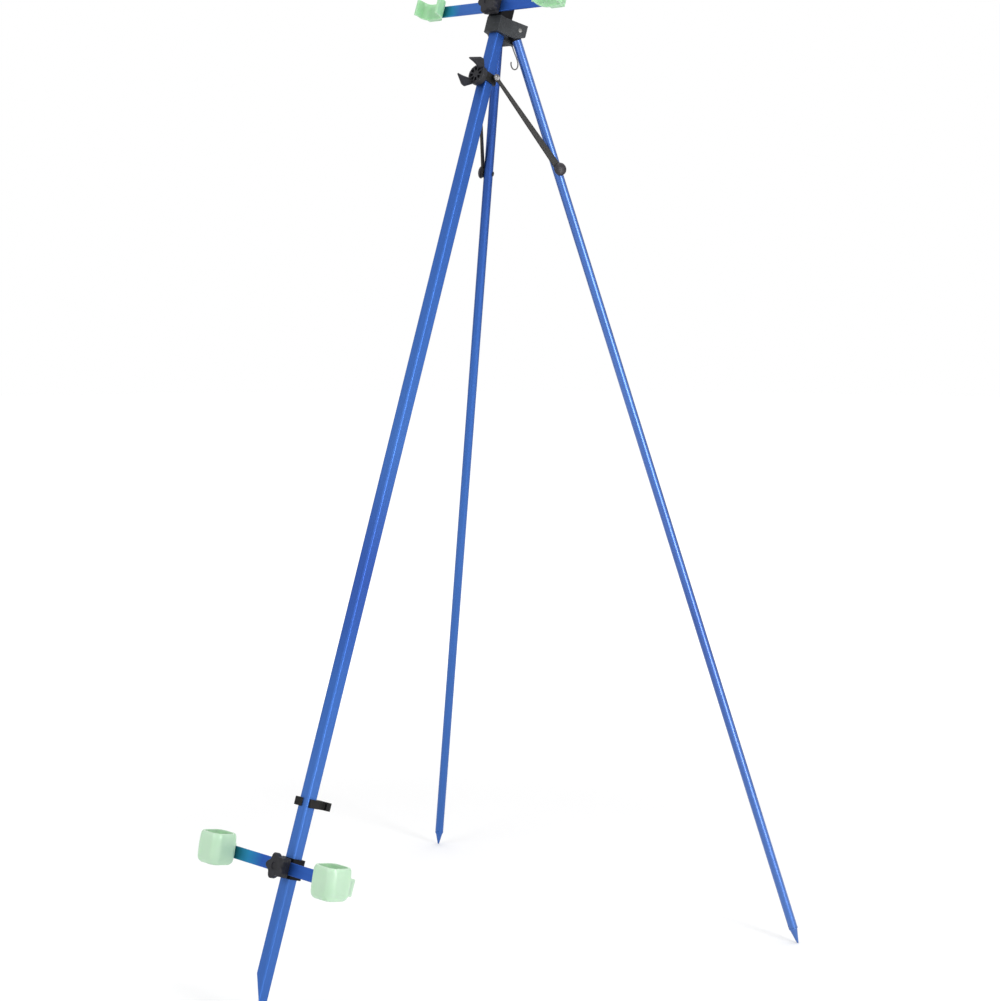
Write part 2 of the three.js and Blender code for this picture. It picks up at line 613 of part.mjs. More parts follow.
function lowerBracket() {
  const low = LOWER_BAR_HEIGHT - BRACKET_HEIGHT / 2;
  const high = low + BRACKET_HEIGHT;
  return bracket(LOWER_BAR_HEIGHT, LOWER_BRACKET_FRONT, low, high).subtract(legBore(low, high));
}

function upperBracket() {
  const low = HEAD_TOP + GAP;
  const boreTop = TUBE_TOP + GAP - OVERRUN;
  return bracket(UPPER_BAR_HEIGHT, UPPER_BRACKET_FRONT, low, TUBE_TOP + GAP + CAP_THICK)
    .subtract(legBore(low, boreTop));
}

function clampBolt(height, front) {
  const knobBack = front + GAP + BAR_THICK + GAP + SADDLE_DEPTH + GAP;
  const tip = knobBack + KNOB_BORE_DEPTH - GAP;
  const tail = -BRACKET_BACK - GAP;
  const headLow = tail - BOLT_HEAD_HEIGHT;
  return forward(turned([[0, headLow], [BOLT_HEAD_RADIUS * HEAD_EDGE_SHARE, headLow],
    [BOLT_HEAD_RADIUS, tail - BOLT_HEAD_HEIGHT * HEAD_SIDE_SHARE], [BOLT_HEAD_RADIUS, tail],
    [BOLT_RADIUS, tail], [BOLT_RADIUS, tip], [0, tip]], FINE_STEPS), height);
}

function crossbar(height, front) {
  const back = front + GAP;
  const section = roundedRectangle(-BAR_HEIGHT / 2, BAR_HEIGHT / 2, back, back + BAR_THICK, BAR_ROUND)
    .map((point) => new THREE.Vector2(-point.y, point.x));
  const along = new THREE.Matrix4().makeBasis(
    new THREE.Vector3(0, 1, 0), new THREE.Vector3(0, 0, 1), new THREE.Vector3(1, 0, 0));
  const bar = shifted(moved(prism(section, -BAR_HALF, BAR_HALF), along), 0, 0, height);
  return bar.subtract(forward(rod(BOLT_RADIUS + GAP, front, back + BAR_THICK + OVERRUN, FINE_STEPS), height));
}

function saddle(height, front) {
  const back = front + GAP + BAR_THICK + GAP;
  const outline = roundedRectangle(-SADDLE_WIDTH / 2, SADDLE_WIDTH / 2, -SADDLE_HEIGHT / 2,
    SADDLE_HEIGHT / 2, SADDLE_ROUND);
  const plate = prism(outline, back, back + SADDLE_DEPTH);
  return forward(plate.subtract(drill(BOLT_RADIUS, back, back + SADDLE_DEPTH)),
    height);
}

function starOutline(growth) {
  const points = [];
  const count = KNOB_LOBES * KNOB_POINTS_PER_LOBE;
  const middle = (KNOB_RADIUS + KNOB_VALLEY) / 2;
  const swing = (KNOB_RADIUS - KNOB_VALLEY) / 2;
  for (let step = 0; step < count; step += 1) {
    const angle = 2 * Math.PI * step / count;
    const wave = Math.cos(KNOB_LOBES * angle);
    points.push(shapeTurn(angle + Math.PI).multiplyScalar(middle + swing * wave + growth));
  }
  return points;
}

function starKnob(height, front) {
  const back = front + GAP + BAR_THICK + GAP + SADDLE_DEPTH + GAP;
  const top = back + KNOB_DEPTH;
  let knob = prism(starOutline(0), back + KNOB_BEVEL, top - KNOB_BEVEL);
  knob = knob.add(prism(starOutline(-KNOB_BEVEL), back, top));
  knob = knob.subtract(rod(KNOB_RECESS_RADIUS, top - KNOB_RECESS_DEPTH, top + OVERRUN, FINE_STEPS));
  knob = knob.subtract(rod(INSERT_RADIUS + GAP, back - OVERRUN, back + KNOB_BORE_DEPTH, FINE_STEPS));
  return forward(knob, height);
}

function knobInsert(height, front) {
  const back = front + GAP + BAR_THICK + GAP + SADDLE_DEPTH + GAP;
  const top = back + KNOB_BORE_DEPTH - GAP;
  return forward(rod(INSERT_RADIUS, back, top, INSERT_SIDES).subtract(drill(BOLT_RADIUS, back, top)), height);
}

// Butt cups and rod rests, drawn about the middle of the crossbar and then shifted along it

// The sleeve is closed past the end of the bar
function barSleeve(front) {
  const barBack = front + GAP;
  const barFront = barBack + BAR_THICK;
  return {
    solid: block(SLEEVE_INNER_END, SLEEVE_OUTER_END, -barFront - HOLDER_WALL, -barBack + SLEEVE_WALL + GAP,
      -SLEEVE_HEIGHT / 2, SLEEVE_HEIGHT / 2),
    slot: block(-CUP_SIDE, BAR_HALF + GAP - HOLDER_SPACING, -barFront - GAP, -barBack + GAP,
      -BAR_HEIGHT / 2 - GAP, BAR_HEIGHT / 2 + GAP),
    face: -barFront - GAP,
  };
}

const cupRing = (growth, height) => (
  { points: roundedSquare(CUP_SIDE / 2 + growth, CUP_ROUND + growth), height });

function cupShell(face) {
  const rings = CUP_PROFILE_SHARES.map(([up, drawn]) => (
    { height: CUP_LOW + up * CUP_HEIGHT, growth: -drawn * CUP_DRAW_IN }));
  const foot = rings[0];
  const rim = rings[rings.length - 1];
  const floor = foot.height + CUP_FLOOR;
  const shell = stacked(rings.map(({ height, growth }) => cupRing(growth, height)));
  const hollow = stacked([
    cupRing(foot.growth - HOLDER_WALL / 2, floor),
    ...rings.filter(({ height }) => height > floor)
      .map(({ height, growth }) => cupRing(growth - HOLDER_WALL, height)),
    cupRing(rim.growth - HOLDER_WALL, rim.height + OVERRUN)]);
  // The cup stands more upright than the leg that carries it
  const place = new THREE.Matrix4().makeTranslation(0, face - CUP_SIDE / 2, 0)
    .multiply(new THREE.Matrix4().makeRotationX(degrees(CUP_TILT)));
  return { solid: moved(shell, place), hollow: moved(hollow, place) };
}

function buttCup() {
  const sleeve = barSleeve(LOWER_BRACKET_FRONT);
  const cup = cupShell(sleeve.face);
  return shifted(cup.solid.add(sleeve.solid).subtract(sleeve.slot).subtract(cup.hollow),
    HOLDER_SPACING, 0, LOWER_BAR_HEIGHT);
}

function rodRest() {
  const sleeve = barSleeve(UPPER_BRACKET_FRONT);
  const half = CUP_SIDE / 2;
  const low = -REST_HEIGHT / 2;
  const high = REST_HEIGHT / 2;
  const far = sleeve.face - CUP_SIDE;
  const tip = sleeve.face - REST_DEPTH;
  const root = sleeve.face - CUP_ROUND;
  const outer = prism(roundedRectangle(-half, half, far, sleeve.face, CUP_ROUND), low, high);
  const inner = prism(roundedRectangle(-half + HOLDER_WALL, half - HOLDER_WALL, far,
    sleeve.face - HOLDER_WALL, CUP_ROUND - HOLDER_WALL), low - OVERRUN, high + OVERRUN);
  const frontCut = block(-CUP_SIDE, CUP_SIDE, far - OVERRUN, tip, low - OVERRUN, high + OVERRUN);
  const side = new THREE.Matrix4().makeBasis(
    new THREE.Vector3(0, 1, 0), new THREE.Vector3(0, 0, 1), new THREE.Vector3(1, 0, 0));
  const slope = moved(prism([
    new THREE.Vector2(tip - OVERRUN, high - REST_FRONT_DROP), new THREE.Vector2(root, high),
    new THREE.Vector2(root, high + OVERRUN), new THREE.Vector2(tip - OVERRUN, high + OVERRUN)],
  -CUP_SIDE, CUP_SIDE), side);
  const lips = block(-half - REST_LIP, -half + HOLDER_WALL, tip, tip + HOLDER_WALL,
    low, high - REST_FRONT_DROP + REST_LIP / 2);
  const rest = outer.subtract(inner).subtract(frontCut).subtract(slope).add(lips).add(mirrored(lips));
  return shifted(rest.add(sleeve.solid).subtract(sleeve.slot), HOLDER_SPACING, 0, UPPER_BAR_HEIGHT);
}

// Leg clip

function legClip() {
  const low = CLIP_TOP - CLIP_HEIGHT;
  const inner = TUBE_SIDE / 2 + GAP;
  const finFront = CLIP_BACK_WALL - OVERRUN;
  return [
    [-CLIP_LEFT, -inner, -CLIP_FRONT, CLIP_BACK_WALL],
    [-CLIP_LEFT, CLIP_LIP_END, -CLIP_FRONT, -inner],
    [inner, CLIP_RIGHT, CLIP_RIGHT_START, CLIP_BACK_WALL],
    [-CLIP_FIN_HALF, CLIP_FIN_HALF, finFront, CLIP_TEE_BACK],
    [-CLIP_TEE_HALF, CLIP_TEE_HALF, CLIP_TEE_FRONT, CLIP_TEE_BACK],
  ].reduce((clip, [left, right, front, back]) => clip.add(block(left, right, front, back, low, CLIP_TOP)),
    block(-CLIP_LEFT, CLIP_RIGHT, inner, CLIP_BACK_WALL, low, CLIP_TOP));
}

// Assembly

add('front_leg', 'anodised', frontLeg());
add('head_body', 'blackPlastic', headBody());
add('upper_bracket', 'blackPlastic', upperBracket());
add('lower_bracket', 'blackPlastic', lowerBracket());
add('leg_clip', 'blackPlastic', legClip());
add('upper_bolt', 'steel', clampBolt(UPPER_BAR_HEIGHT, UPPER_BRACKET_FRONT));
add('lower_bolt', 'steel', clampBolt(LOWER_BAR_HEIGHT, LOWER_BRACKET_FRONT));
add('hook_pin', 'steel', hookPin());
add('gear_hook', 'steel', gearHook(), new THREE.Matrix4());
addPair('hinge_pin', 'steel', hingePin());

addPair('leg_top', 'blackPlastic', legTop(), legWorld);
addPair('rear_leg', 'anodised', rearLeg(), legWorld);
addPair('foot_spike', 'anodised', footSpike(), legWorld);
addPair('strut_bolt', 'steel', strutBolt(), legWorld);
addPair('strut_dome', 'blackPlastic', strutDome(), legWorld);

const planeWorld = frontFrame.clone().multiply(planeFrame);
addPair('strut', 'blackPlastic', strut(), planeWorld);
addPair('strut_pin', 'steel', strutPin(), planeWorld);
add('brace_clamp', 'blackPlastic', braceClamp());
add('wing_knob', 'blackPlastic', wingKnob());
add('wing_stem', 'steel', wingStem());

add('upper_crossbar', 'anodised', crossbar(UPPER_BAR_HEIGHT, UPPER_BRACKET_FRONT));
add('upper_saddle', 'blackPlastic', saddle(UPPER_BAR_HEIGHT, UPPER_BRACKET_FRONT));
add('upper_knob', 'blackPlastic', starKnob(UPPER_BAR_HEIGHT, UPPER_BRACKET_FRONT));
add('upper_insert', 'steel', knobInsert(UPPER_BAR_HEIGHT, UPPER_BRACKET_FRONT));
add('lower_crossbar', 'anodised', crossbar(LOWER_BAR_HEIGHT, LOWER_BRACKET_FRONT));
add('lower_saddle', 'blackPlastic', saddle(LOWER_BAR_HEIGHT, LOWER_BRACKET_FRONT));
add('lower_knob', 'blackPlastic', starKnob(LOWER_BAR_HEIGHT, LOWER_BRACKET_FRONT));
add('lower_insert', 'steel', knobInsert(LOWER_BAR_HEIGHT, LOWER_BRACKET_FRONT));
addPair('rod_rest', 'paleGreen', rodRest());
addPair('butt_cup', 'paleGreen', buttCup());

export default group;
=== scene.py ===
import json
import math
import bmesh
import bpy
from mathutils import Matrix, Vector

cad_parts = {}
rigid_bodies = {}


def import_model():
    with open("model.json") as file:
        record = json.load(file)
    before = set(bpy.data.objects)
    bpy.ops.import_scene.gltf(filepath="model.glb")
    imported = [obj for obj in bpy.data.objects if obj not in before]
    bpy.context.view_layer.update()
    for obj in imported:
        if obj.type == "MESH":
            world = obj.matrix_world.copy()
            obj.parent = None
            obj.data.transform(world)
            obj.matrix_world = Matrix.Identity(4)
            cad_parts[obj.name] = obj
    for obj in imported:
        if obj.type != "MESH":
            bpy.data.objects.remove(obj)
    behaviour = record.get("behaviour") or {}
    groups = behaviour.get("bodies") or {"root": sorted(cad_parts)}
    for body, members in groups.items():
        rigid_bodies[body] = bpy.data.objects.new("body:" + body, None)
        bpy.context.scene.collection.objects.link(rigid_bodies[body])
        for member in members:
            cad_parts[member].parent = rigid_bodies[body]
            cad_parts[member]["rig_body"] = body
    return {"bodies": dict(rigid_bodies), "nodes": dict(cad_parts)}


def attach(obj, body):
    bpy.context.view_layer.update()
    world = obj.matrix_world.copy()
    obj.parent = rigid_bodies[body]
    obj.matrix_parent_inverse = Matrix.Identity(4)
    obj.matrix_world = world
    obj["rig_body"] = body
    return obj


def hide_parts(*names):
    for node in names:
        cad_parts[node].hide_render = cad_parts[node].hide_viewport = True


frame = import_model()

for thing in list(bpy.data.objects):
    if "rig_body" not in thing and thing not in frame["bodies"].values():
        bpy.data.objects.remove(thing)
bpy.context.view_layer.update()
print("frame loaded")

# ---- shared node work


def addNode(tree, kind, inputs=None, **settings):
    # an input that is a socket gets linked, and any other value is set
    made = tree.nodes.new("ShaderNode" + kind)
    for key, value in settings.items():
        setattr(made, key, value)
    for key, value in (inputs or {}).items():
        if isinstance(value, bpy.types.NodeSocket):
            tree.links.new(value, made.inputs[key])
        else:
            made.inputs[key].default_value = value
    return made


def newGroup(name, inputs, outputs):
    group = bpy.data.node_groups.new(name, "ShaderNodeTree")
    for label, value in inputs.items():
        kind = "NodeSocketVector" if value is None else "NodeSocketFloat"
        socket = group.interface.new_socket(label, in_out="INPUT", socket_type=kind)
        if value is not None:
            socket.default_value = value
    for label in outputs:
        group.interface.new_socket(label, in_out="OUTPUT", socket_type="NodeSocketFloat")
    return group, group.nodes.new("NodeGroupInput").outputs, group.nodes.new("NodeGroupOutput").inputs


def addGroup(tree, group, inputs):
    return addNode(tree, "Group", inputs, node_tree=group)


def math2(tree, operation, first, second, clamp=False):
    return addNode(tree, "Math", {0: first, 1: second}, operation=operation, use_clamp=clamp).outputs[0]


def spread(tree, value, fromLow, fromHigh, toLow, toHigh, smooth=False):
    kind = "SMOOTHSTEP" if smooth else "LINEAR"
    return addNode(tree, "MapRange", {"Value": value, "From Min": fromLow, "From Max": fromHigh,
                                      "To Min": toLow, "To Max": toHigh}, interpolation_type=kind).outputs[0]


def mixColour(tree, share, first, second, blend="MIX"):
    # inputs 6 and 7 and output 2 are the node's colour ones
    first, second = ((*value, 1) if isinstance(value, tuple) else value for value in (first, second))
    return addNode(tree, "Mix", {0: share, 6: first, 7: second}, data_type="RGBA", blend_type=blend).outputs[2]


def grainGroup():
    # fine moulded grain: a mottled mask and a height for bump
    look = {"patchShare": 0.08, "patchDetail": 3.0, "patchRange": (0.35, 0.68), "detail": 4.0, "rough": 0.65}
    group, start, end = newGroup("Moulded grain", {"Vector": None, "Scale": 900}, ("Mask", "Height"))
    patches = math2(group, "MULTIPLY", start["Scale"], look["patchShare"])
    broad = addNode(group, "TexNoise", {"Vector": start["Vector"], "Scale": patches, "Detail": look["patchDetail"]})
    fine = addNode(group, "TexNoise", {"Vector": start["Vector"], "Scale": start["Scale"],
                                       "Detail": look["detail"], "Roughness": look["rough"]})
    group.links.new(spread(group, broad.outputs[0], *look["patchRange"], 0, 1, True), end["Mask"])
    group.links.new(fine.outputs[0], end["Height"])
    return group


def wearGroup():
    # where an edge turns, broken up by noise
    look = {"samples": 6, "turn": (0.01, 0.16), "chipScale": 260, "chipDetail": 4.0, "chipRange": (0.38, 0.62),
            "leastKept": 0.15}
    group, start, end = newGroup("Edge wear", {"Vector": None, "Width": 0.001, "Amount": 1}, ("Mask",))
    bevel = addNode(group, "Bevel", {"Radius": start["Width"]}, samples=look["samples"])
    plain = group.nodes.new("ShaderNodeNewGeometry")
    same = addNode(group, "VectorMath", {0: bevel.outputs[0], 1: plain.outputs["Normal"]},
                   operation="DOT_PRODUCT").outputs["Value"]
    turned = spread(group, math2(group, "SUBTRACT", 1, same), *look["turn"], 0, 1)
    chips = addNode(group, "TexNoise", {"Vector": start["Vector"], "Scale": look["chipScale"],
                                        "Detail": look["chipDetail"]}).outputs[0]
    kept = spread(group, chips, *look["chipRange"], look["leastKept"], 1)
    broken = math2(group, "MULTIPLY", turned, kept)
    group.links.new(math2(group, "MULTIPLY", broken, start["Amount"], True), end["Mask"])
    return group


def drawnGroup():
    # the long fine lines that drawing and brushing leave along a tube
    look = {"stretch": (1, 1, 0.012), "lines": 900, "lineDetail": 3.0, "clouds": 9, "cloudDetail": 2.0}
    group, start, end = newGroup("Drawn lines", {"Vector": None, "Scale": 1}, ("Lines", "Cloud"))
    drawnOut = addNode(group, "VectorMath", {0: start["Vector"], 1: look["stretch"]},
                       operation="MULTIPLY").outputs[0]
    lineScale = math2(group, "MULTIPLY", start["Scale"], look["lines"])
    lines = addNode(group, "TexNoise", {"Vector": drawnOut, "Scale": lineScale, "Detail": look["lineDetail"]})
    cloudScale = math2(group, "MULTIPLY", start["Scale"], look["clouds"])
    cloud = addNode(group, "TexNoise", {"Vector": start["Vector"], "Scale": cloudScale,
                                        "Detail": look["cloudDetail"]})
    group.links.new(lines.outputs[0], end["Lines"])
    group.links.new(cloud.outputs[0], end["Cloud"])
    return group


def scuffGroup():
    # short thin rubs that lie one way
    look = {"lean": (0.5, 0.35, 0.2), "stretch": (1, 7, 1), "detail": 5.0, "rough": 0.7, "range": (0.58, 0.75)}
    group, start, end = newGroup("Scuffs", {"Vector": None, "Scale": 60, "Amount": 0.5}, ("Mask",))
    lean = addNode(group, "Mapping", {"Vector": start["Vector"], "Rotation": look["lean"],
                                      "Scale": look["stretch"]}).outputs[0]
    rub = addNode(group, "TexNoise", {"Vector": lean, "Scale": start["Scale"], "Detail": look["detail"],
                                      "Roughness": look["rough"]}).outputs[0]
    mask = spread(group, rub, *look["range"], 0, 1)
    group.links.new(math2(group, "MULTIPLY", mask, start["Amount"], True), end["Mask"])
    return group


grain, wear, drawn, scuffs = grainGroup(), wearGroup(), drawnGroup(), scuffGroup()


def newMaterial(name, **plain):
    # plain values go on the shader's own sockets
    material = bpy.data.materials.new(name)
    material.use_nodes = True
    shader = material.node_tree.nodes["Principled BSDF"]
    for label, value in plain.items():
        shader.inputs[label.replace("_", " ")].default_value = value
    return material, material.node_tree


# the part of a noise's height over which roughness and tone change
noiseRange = (0.3, 0.7)


def surface(material, colour, height, roughRange, strength, depth):
    # the colour, and what the height does to the roughness and the bump
    tree = material.node_tree
    shader = tree.nodes["Principled BSDF"].inputs
    tree.links.new(colour, shader["Base Color"])
    tree.links.new(spread(tree, height, *noiseRange, *roughRange), shader["Roughness"])
    bump = addNode(tree, "Bump", {"Height": height, "Strength": strength, "Distance": depth})
    tree.links.new(bump.outputs[0], shader["Normal"])
    return material


# ---- the stance of the stand, in metres and degrees, and the frames that its parts are modelled in

stance = {"headBack": 0.132241, "headHeight": 1.5633, "lean": 20.16, "spread": 33.37, "planeTurn": 62.6,
          "planeSide": 0.0162, "planeBack": 0.0193, "pinOut": 0.0075, "pinUp": 0.0055, "legOffPin": 0.0052}


def turned(axis, degrees):
    return Matrix.Rotation(math.radians(degrees), 4, axis)


def shifted(x, y, z):
    return Matrix.Translation((x, y, z))


# in the front leg's frame +Z runs up the tube and -Y is the front
frontFrame = shifted(0, stance["headBack"], stance["headHeight"]) @ turned("X", -stance["lean"])
planeFrame = frontFrame @ shifted(stance["planeSide"], stance["planeBack"], 0) @ turned("Z", stance["planeTurn"])
legFrame = planeFrame @ shifted(stance["pinOut"], 0, stance["pinUp"]) @ turned("Y", -stance["spread"])
facing = turned("X", 90)  # what is drawn along +Z then faces -Y
mirror = Matrix.Scale(-1, 4, (1, 0, 0))

# ---- finishes

# the sea, teal and sky blues are a painted reflection of the green cups and rests, and the night blue is painted
# shade at the top of the left leg
blues = {"mid": (0.034, 0.118, 0.41), "dark": (0.022, 0.070, 0.34), "light": (0.046, 0.140, 0.44),
         "deep": (0.018, 0.078, 0.34), "night": (0.016, 0.058, 0.26), "royal": (0.014, 0.080, 0.38),
         "teal": (0.006, 0.185, 0.27), "sea": (0.004, 0.160, 0.120), "sky": (0.014, 0.235, 0.47),
         "worn": (0.18, 0.30, 0.54), "metallic": 0.65}
# how much clear coat lies on the blue, how rough that is, and how rough the metal under it
polishes = {"satin": (0.08, 0.30, (0.42, 0.52)), "bright": (0.9, 0.19, (0.30, 0.38))}
# each tube's tones from its low end to its high end, or a bar's from left to right. On the rear legs these tones
# are painted light and shade: the left leg is painted darker at its top, and the right leg is painted darker about
# a third of the way up. On the bars the sea, teal and sky at the left end are a painted reflection of the green
# cups and rests. The front leg goes lighter and darker in bands along its length, with dark tones a little below
# the middle and at its top.
tonesWithPaintedLight = {
    "frontLeg": ((0.0, "mid"), (0.22, "light"), (0.32, "mid"), (0.42, "dark"), (0.55, "light"), (0.72, "mid"),
                 (1.0, "deep")),
    "rightLeg": ((0.0, "light"), (0.35, "deep"), (0.6, "mid"), (1.0, "mid")),
    "leftLeg": ((0.0, "light"), (0.4, "light"), (0.65, "mid"), (0.88, "night"), (1.0, "night")),
    "upperBar": ((0.07, "sea"), (0.12, "teal"), (0.17, "sky"), (0.24, "mid"), (0.5, "mid"), (0.6, "royal")),
    "lowerBar": ((0.07, "sea"), (0.14, "teal"), (0.22, "sky"), (0.33, "royal"), (1.0, "royal"))}
# where the tones start and end along a piece's +Z
toneSpans = {"frontLeg": (-1.66, 0.03), "rearLeg": (-1.60, 0), "bar": (-0.148, 0.148)}


def anodised(name, place, tone, span, polish):
    look = {"specular": 0.25, "cloudShare": 0.22, "lineRange": (0.35, 0.65), "lineTint": (0.93, 1.05),
            "edge": 0.0012, "worn": 0.35, "bump": 0.06, "bumpDepth": 0.0002}
    coat, coatRough, rough = polishes[polish]
    material, tree = newMaterial(name, Metallic=blues["metallic"], Coat_Weight=coat, Coat_Roughness=coatRough,
                                 Specular_IOR_Level=look["specular"])
    back = place.inverted()
    here = addNode(tree, "Mapping", {"Vector": addNode(tree, "TexCoord").outputs["Object"],
                                     "Location": back.translation, "Rotation": back.to_euler()}).outputs[0]
    metal = addGroup(tree, drawn, {"Vector": here, "Scale": 1.0})
    along = addNode(tree, "SeparateXYZ", {0: here}).outputs["Z"]
    # the ramp lays the tone table along the piece, so it carries that table's painted light, shade and reflection
    ramp = addNode(tree, "ValToRGB", {0: spread(tree, along, *toneSpans[span], 0, 1)})
    points = ramp.color_ramp.elements
    points.remove(points[1])
    for index, (position, shade) in enumerate(tonesWithPaintedLight[tone]):
        point = points.new(position) if index else points[0]
        point.position, point.color = position, (*blues[shade], 1)
    cloud = spread(tree, metal.outputs["Cloud"], *noiseRange, 0, look["cloudShare"])
    colour = mixColour(tree, cloud, ramp.outputs[0], blues["light"])
    lines = spread(tree, metal.outputs["Lines"], *look["lineRange"], *look["lineTint"])
    tint = addNode(tree, "CombineColor", {0: lines, 1: lines, 2: lines}).outputs[0]
    colour = mixColour(tree, 1.0, colour, tint, "MULTIPLY")
    edges = addGroup(tree, wear, {"Vector": here, "Width": look["edge"], "Amount": look["worn"]}).outputs[0]
    colour = mixColour(tree, edges, colour, blues["worn"])
    return surface(material, colour, metal.outputs["Lines"], rough, look["bump"], look["bumpDepth"])


def blackPlastic(name, base, pale, rough, wornShare, scuffShare, shine):
    look = {"grain": 900, "edge": 0.0014, "scuffs": 70.0, "mottle": 0.6, "wornTimes": 3.2, "smoother": 0.07,
            "rougher": 0.08, "bump": 0.35, "bumpDepth": 0.0003}
    material, tree = newMaterial(name, Specular_IOR_Level=shine)
    here = addNode(tree, "TexCoord").outputs["Object"]
    skin = addGroup(tree, grain, {"Vector": here, "Scale": look["grain"]})
    edges = addGroup(tree, wear, {"Vector": here, "Width": look["edge"], "Amount": wornShare}).outputs[0]
    rubs = addGroup(tree, scuffs, {"Vector": here, "Scale": look["scuffs"], "Amount": scuffShare}).outputs[0]
    colour = mixColour(tree, math2(tree, "MULTIPLY", skin.outputs["Mask"], look["mottle"]), base, pale)
    light = tuple(min(1, look["wornTimes"] * share) for share in pale)
    colour = mixColour(tree, math2(tree, "MAXIMUM", edges, rubs), colour, light)
    roughRange = (rough - look["smoother"], rough + look["rougher"])
    return surface(material, colour, skin.outputs["Height"], roughRange, look["bump"], look["bumpDepth"])


def softGreen(name, base, deep):
    # pale translucent plastic that lets light in under its skin
    look = {"grain": 420.0, "edge": 0.002, "worn": 0.5, "mottle": 0.4, "wornTimes": 1.14, "rough": (0.30, 0.42),
            "bump": 0.12, "bumpDepth": 0.0003}
    material, tree = newMaterial(name, Subsurface_Weight=0.45, Subsurface_Scale=0.02, Coat_Weight=0.2,
                                 Coat_Roughness=0.22, Subsurface_Radius=(0.7, 1.0, 0.65))
    here = addNode(tree, "TexCoord").outputs["Object"]
    skin = addGroup(tree, grain, {"Vector": here, "Scale": look["grain"]})
    edges = addGroup(tree, wear, {"Vector": here, "Width": look["edge"], "Amount": look["worn"]}).outputs[0]
    colour = mixColour(tree, math2(tree, "MULTIPLY", skin.outputs["Mask"], look["mottle"]), base, deep)
    colour = mixColour(tree, edges, colour, tuple(min(1, look["wornTimes"] * share) for share in base))
    return surface(material, colour, skin.outputs["Height"], look["rough"], look["bump"], look["bumpDepth"])


def dullSteel(name, base, rough, mottle=0.6, scale=1400.0):
    look = {"smoother": 0.06, "rougher": 0.1, "bump": 0.15, "bumpDepth": 0.0002}
    material, tree = newMaterial(name, Metallic=1.0)
    here = addNode(tree, "TexCoord").outputs["Object"]
    skin = addGroup(tree, grain, {"Vector": here, "Scale": scale})
    colour = mixColour(tree, skin.outputs["Mask"], base, tuple(mottle * share for share in base))
    roughRange = (rough - look["smoother"], rough + look["rougher"])
    return surface(material, colour, skin.outputs["Height"], roughRange, look["bump"], look["bumpDepth"])


barFrame = frontFrame @ turned("Y", 90)  # its +Z runs along the crossbars, from left to right
# a black plastic's numbers are its roughness, its worn and scuffed shares and its shine
finishes = {
    "frontLeg": anodised("Anodised front leg", frontFrame, "frontLeg", "frontLeg", "satin"),
    # both rear legs are one blue, but their tones are painted light and shade: the left leg is painted darker at
    # its top, and the right leg is painted darker low down
    "rearLegRight": anodised("Anodised right leg", legFrame, "rightLeg", "rearLeg", "bright"),
    "rearLegLeft": anodised("Anodised left leg", mirror @ legFrame @ mirror, "leftLeg", "rearLeg", "satin"),
    # the bars' left ends carry a painted reflection of the green cups and rests in their tones
    "upperBar": anodised("Anodised upper bar", barFrame, "upperBar", "bar", "satin"),
    "lowerBar": anodised("Anodised lower bar", barFrame, "lowerBar", "bar", "satin"),
    "head": blackPlastic("Worn black head", (0.013, 0.015, 0.018), (0.026, 0.030, 0.034), 0.56, 0.6, 0.5, 0.35),
    "bracket": blackPlastic("Black bracket", (0.003, 0.003, 0.004), (0.007, 0.007, 0.008), 0.5, 0.15, 0.1, 0.1),
    "knob": blackPlastic("Black knob", (0.009, 0.009, 0.012), (0.019, 0.019, 0.025), 0.48, 0.3, 0.2, 0.28),
    "clamp": blackPlastic("Black clamp", (0.006, 0.006, 0.006), (0.014, 0.013, 0.012), 0.5, 0.3, 0.2, 0.18),
    "strut": blackPlastic("Dark strut", (0.009, 0.009, 0.009), (0.024, 0.022, 0.020), 0.5, 0.4, 0.9, 0.25),
    "dome": blackPlastic("Dome cap", (0.014, 0.012, 0.016), (0.025, 0.021, 0.028), 0.42, 0.1, 0.15, 0.35),
    "cup": softGreen("Pale green cup", (0.49, 0.74, 0.51), (0.43, 0.70, 0.45)),
    "rest": softGreen("Green rod rest", (0.35, 0.65, 0.37), (0.26, 0.56, 0.29)),
    "steel": dullSteel("Dull steel", (0.24, 0.24, 0.235), 0.42),
    "wire": dullSteel("Grey wire", (0.16, 0.16, 0.155), 0.42),
    "pin": dullSteel("Speckled pin", (0.24, 0.235, 0.24), 0.5, mottle=0.25, scale=5200.0),
    "bolt": dullSteel("Blackened bolt", (0.06, 0.06, 0.062), 0.5),
}
print("finishes made")

# ---- modelling moves

seam = 0.0003  # the gap left between two pieces
cutPast = 0.001  # how far a drill or a hollow goes past what it cuts
weld = 0.000002  # points nearer than this are one
endsAlong, facesAlong = 0.99, 0.9  # an edge or a face counts as along an axis above these


def freshStart():
    if bpy.context.mode != "OBJECT":
        bpy.ops.object.mode_set(mode="OBJECT")
    bpy.ops.object.select_all(action="DESELECT")


def only(piece):
    freshStart()
    piece.select_set(True)
    bpy.context.view_layer.objects.active = piece


def editing(piece):
    only(piece)
    bpy.ops.object.mode_set(mode="EDIT")


def named(name):
    piece = bpy.context.object
    piece.name = piece.data.name = name
    return piece


def pick(kind, test):
    bpy.ops.mesh.select_mode(type=kind)
    bpy.ops.mesh.select_all(action="DESELECT")
    shape = bmesh.from_edit_mesh(bpy.context.edit_object.data)
    for part in {"VERT": shape.verts, "EDGE": shape.edges, "FACE": shape.faces}[kind]:
        if test(part):
            part.select_set(True)
    bmesh.update_edit_mesh(bpy.context.edit_object.data)


def extrudeBy(step):
    bpy.ops.mesh.extrude_region_move(TRANSFORM_OT_translate={"value": tuple(step)})


def resizeBy(share, centre=(0, 0, 0)):
    bpy.ops.transform.resize(value=(share, share, 1), center_override=centre)


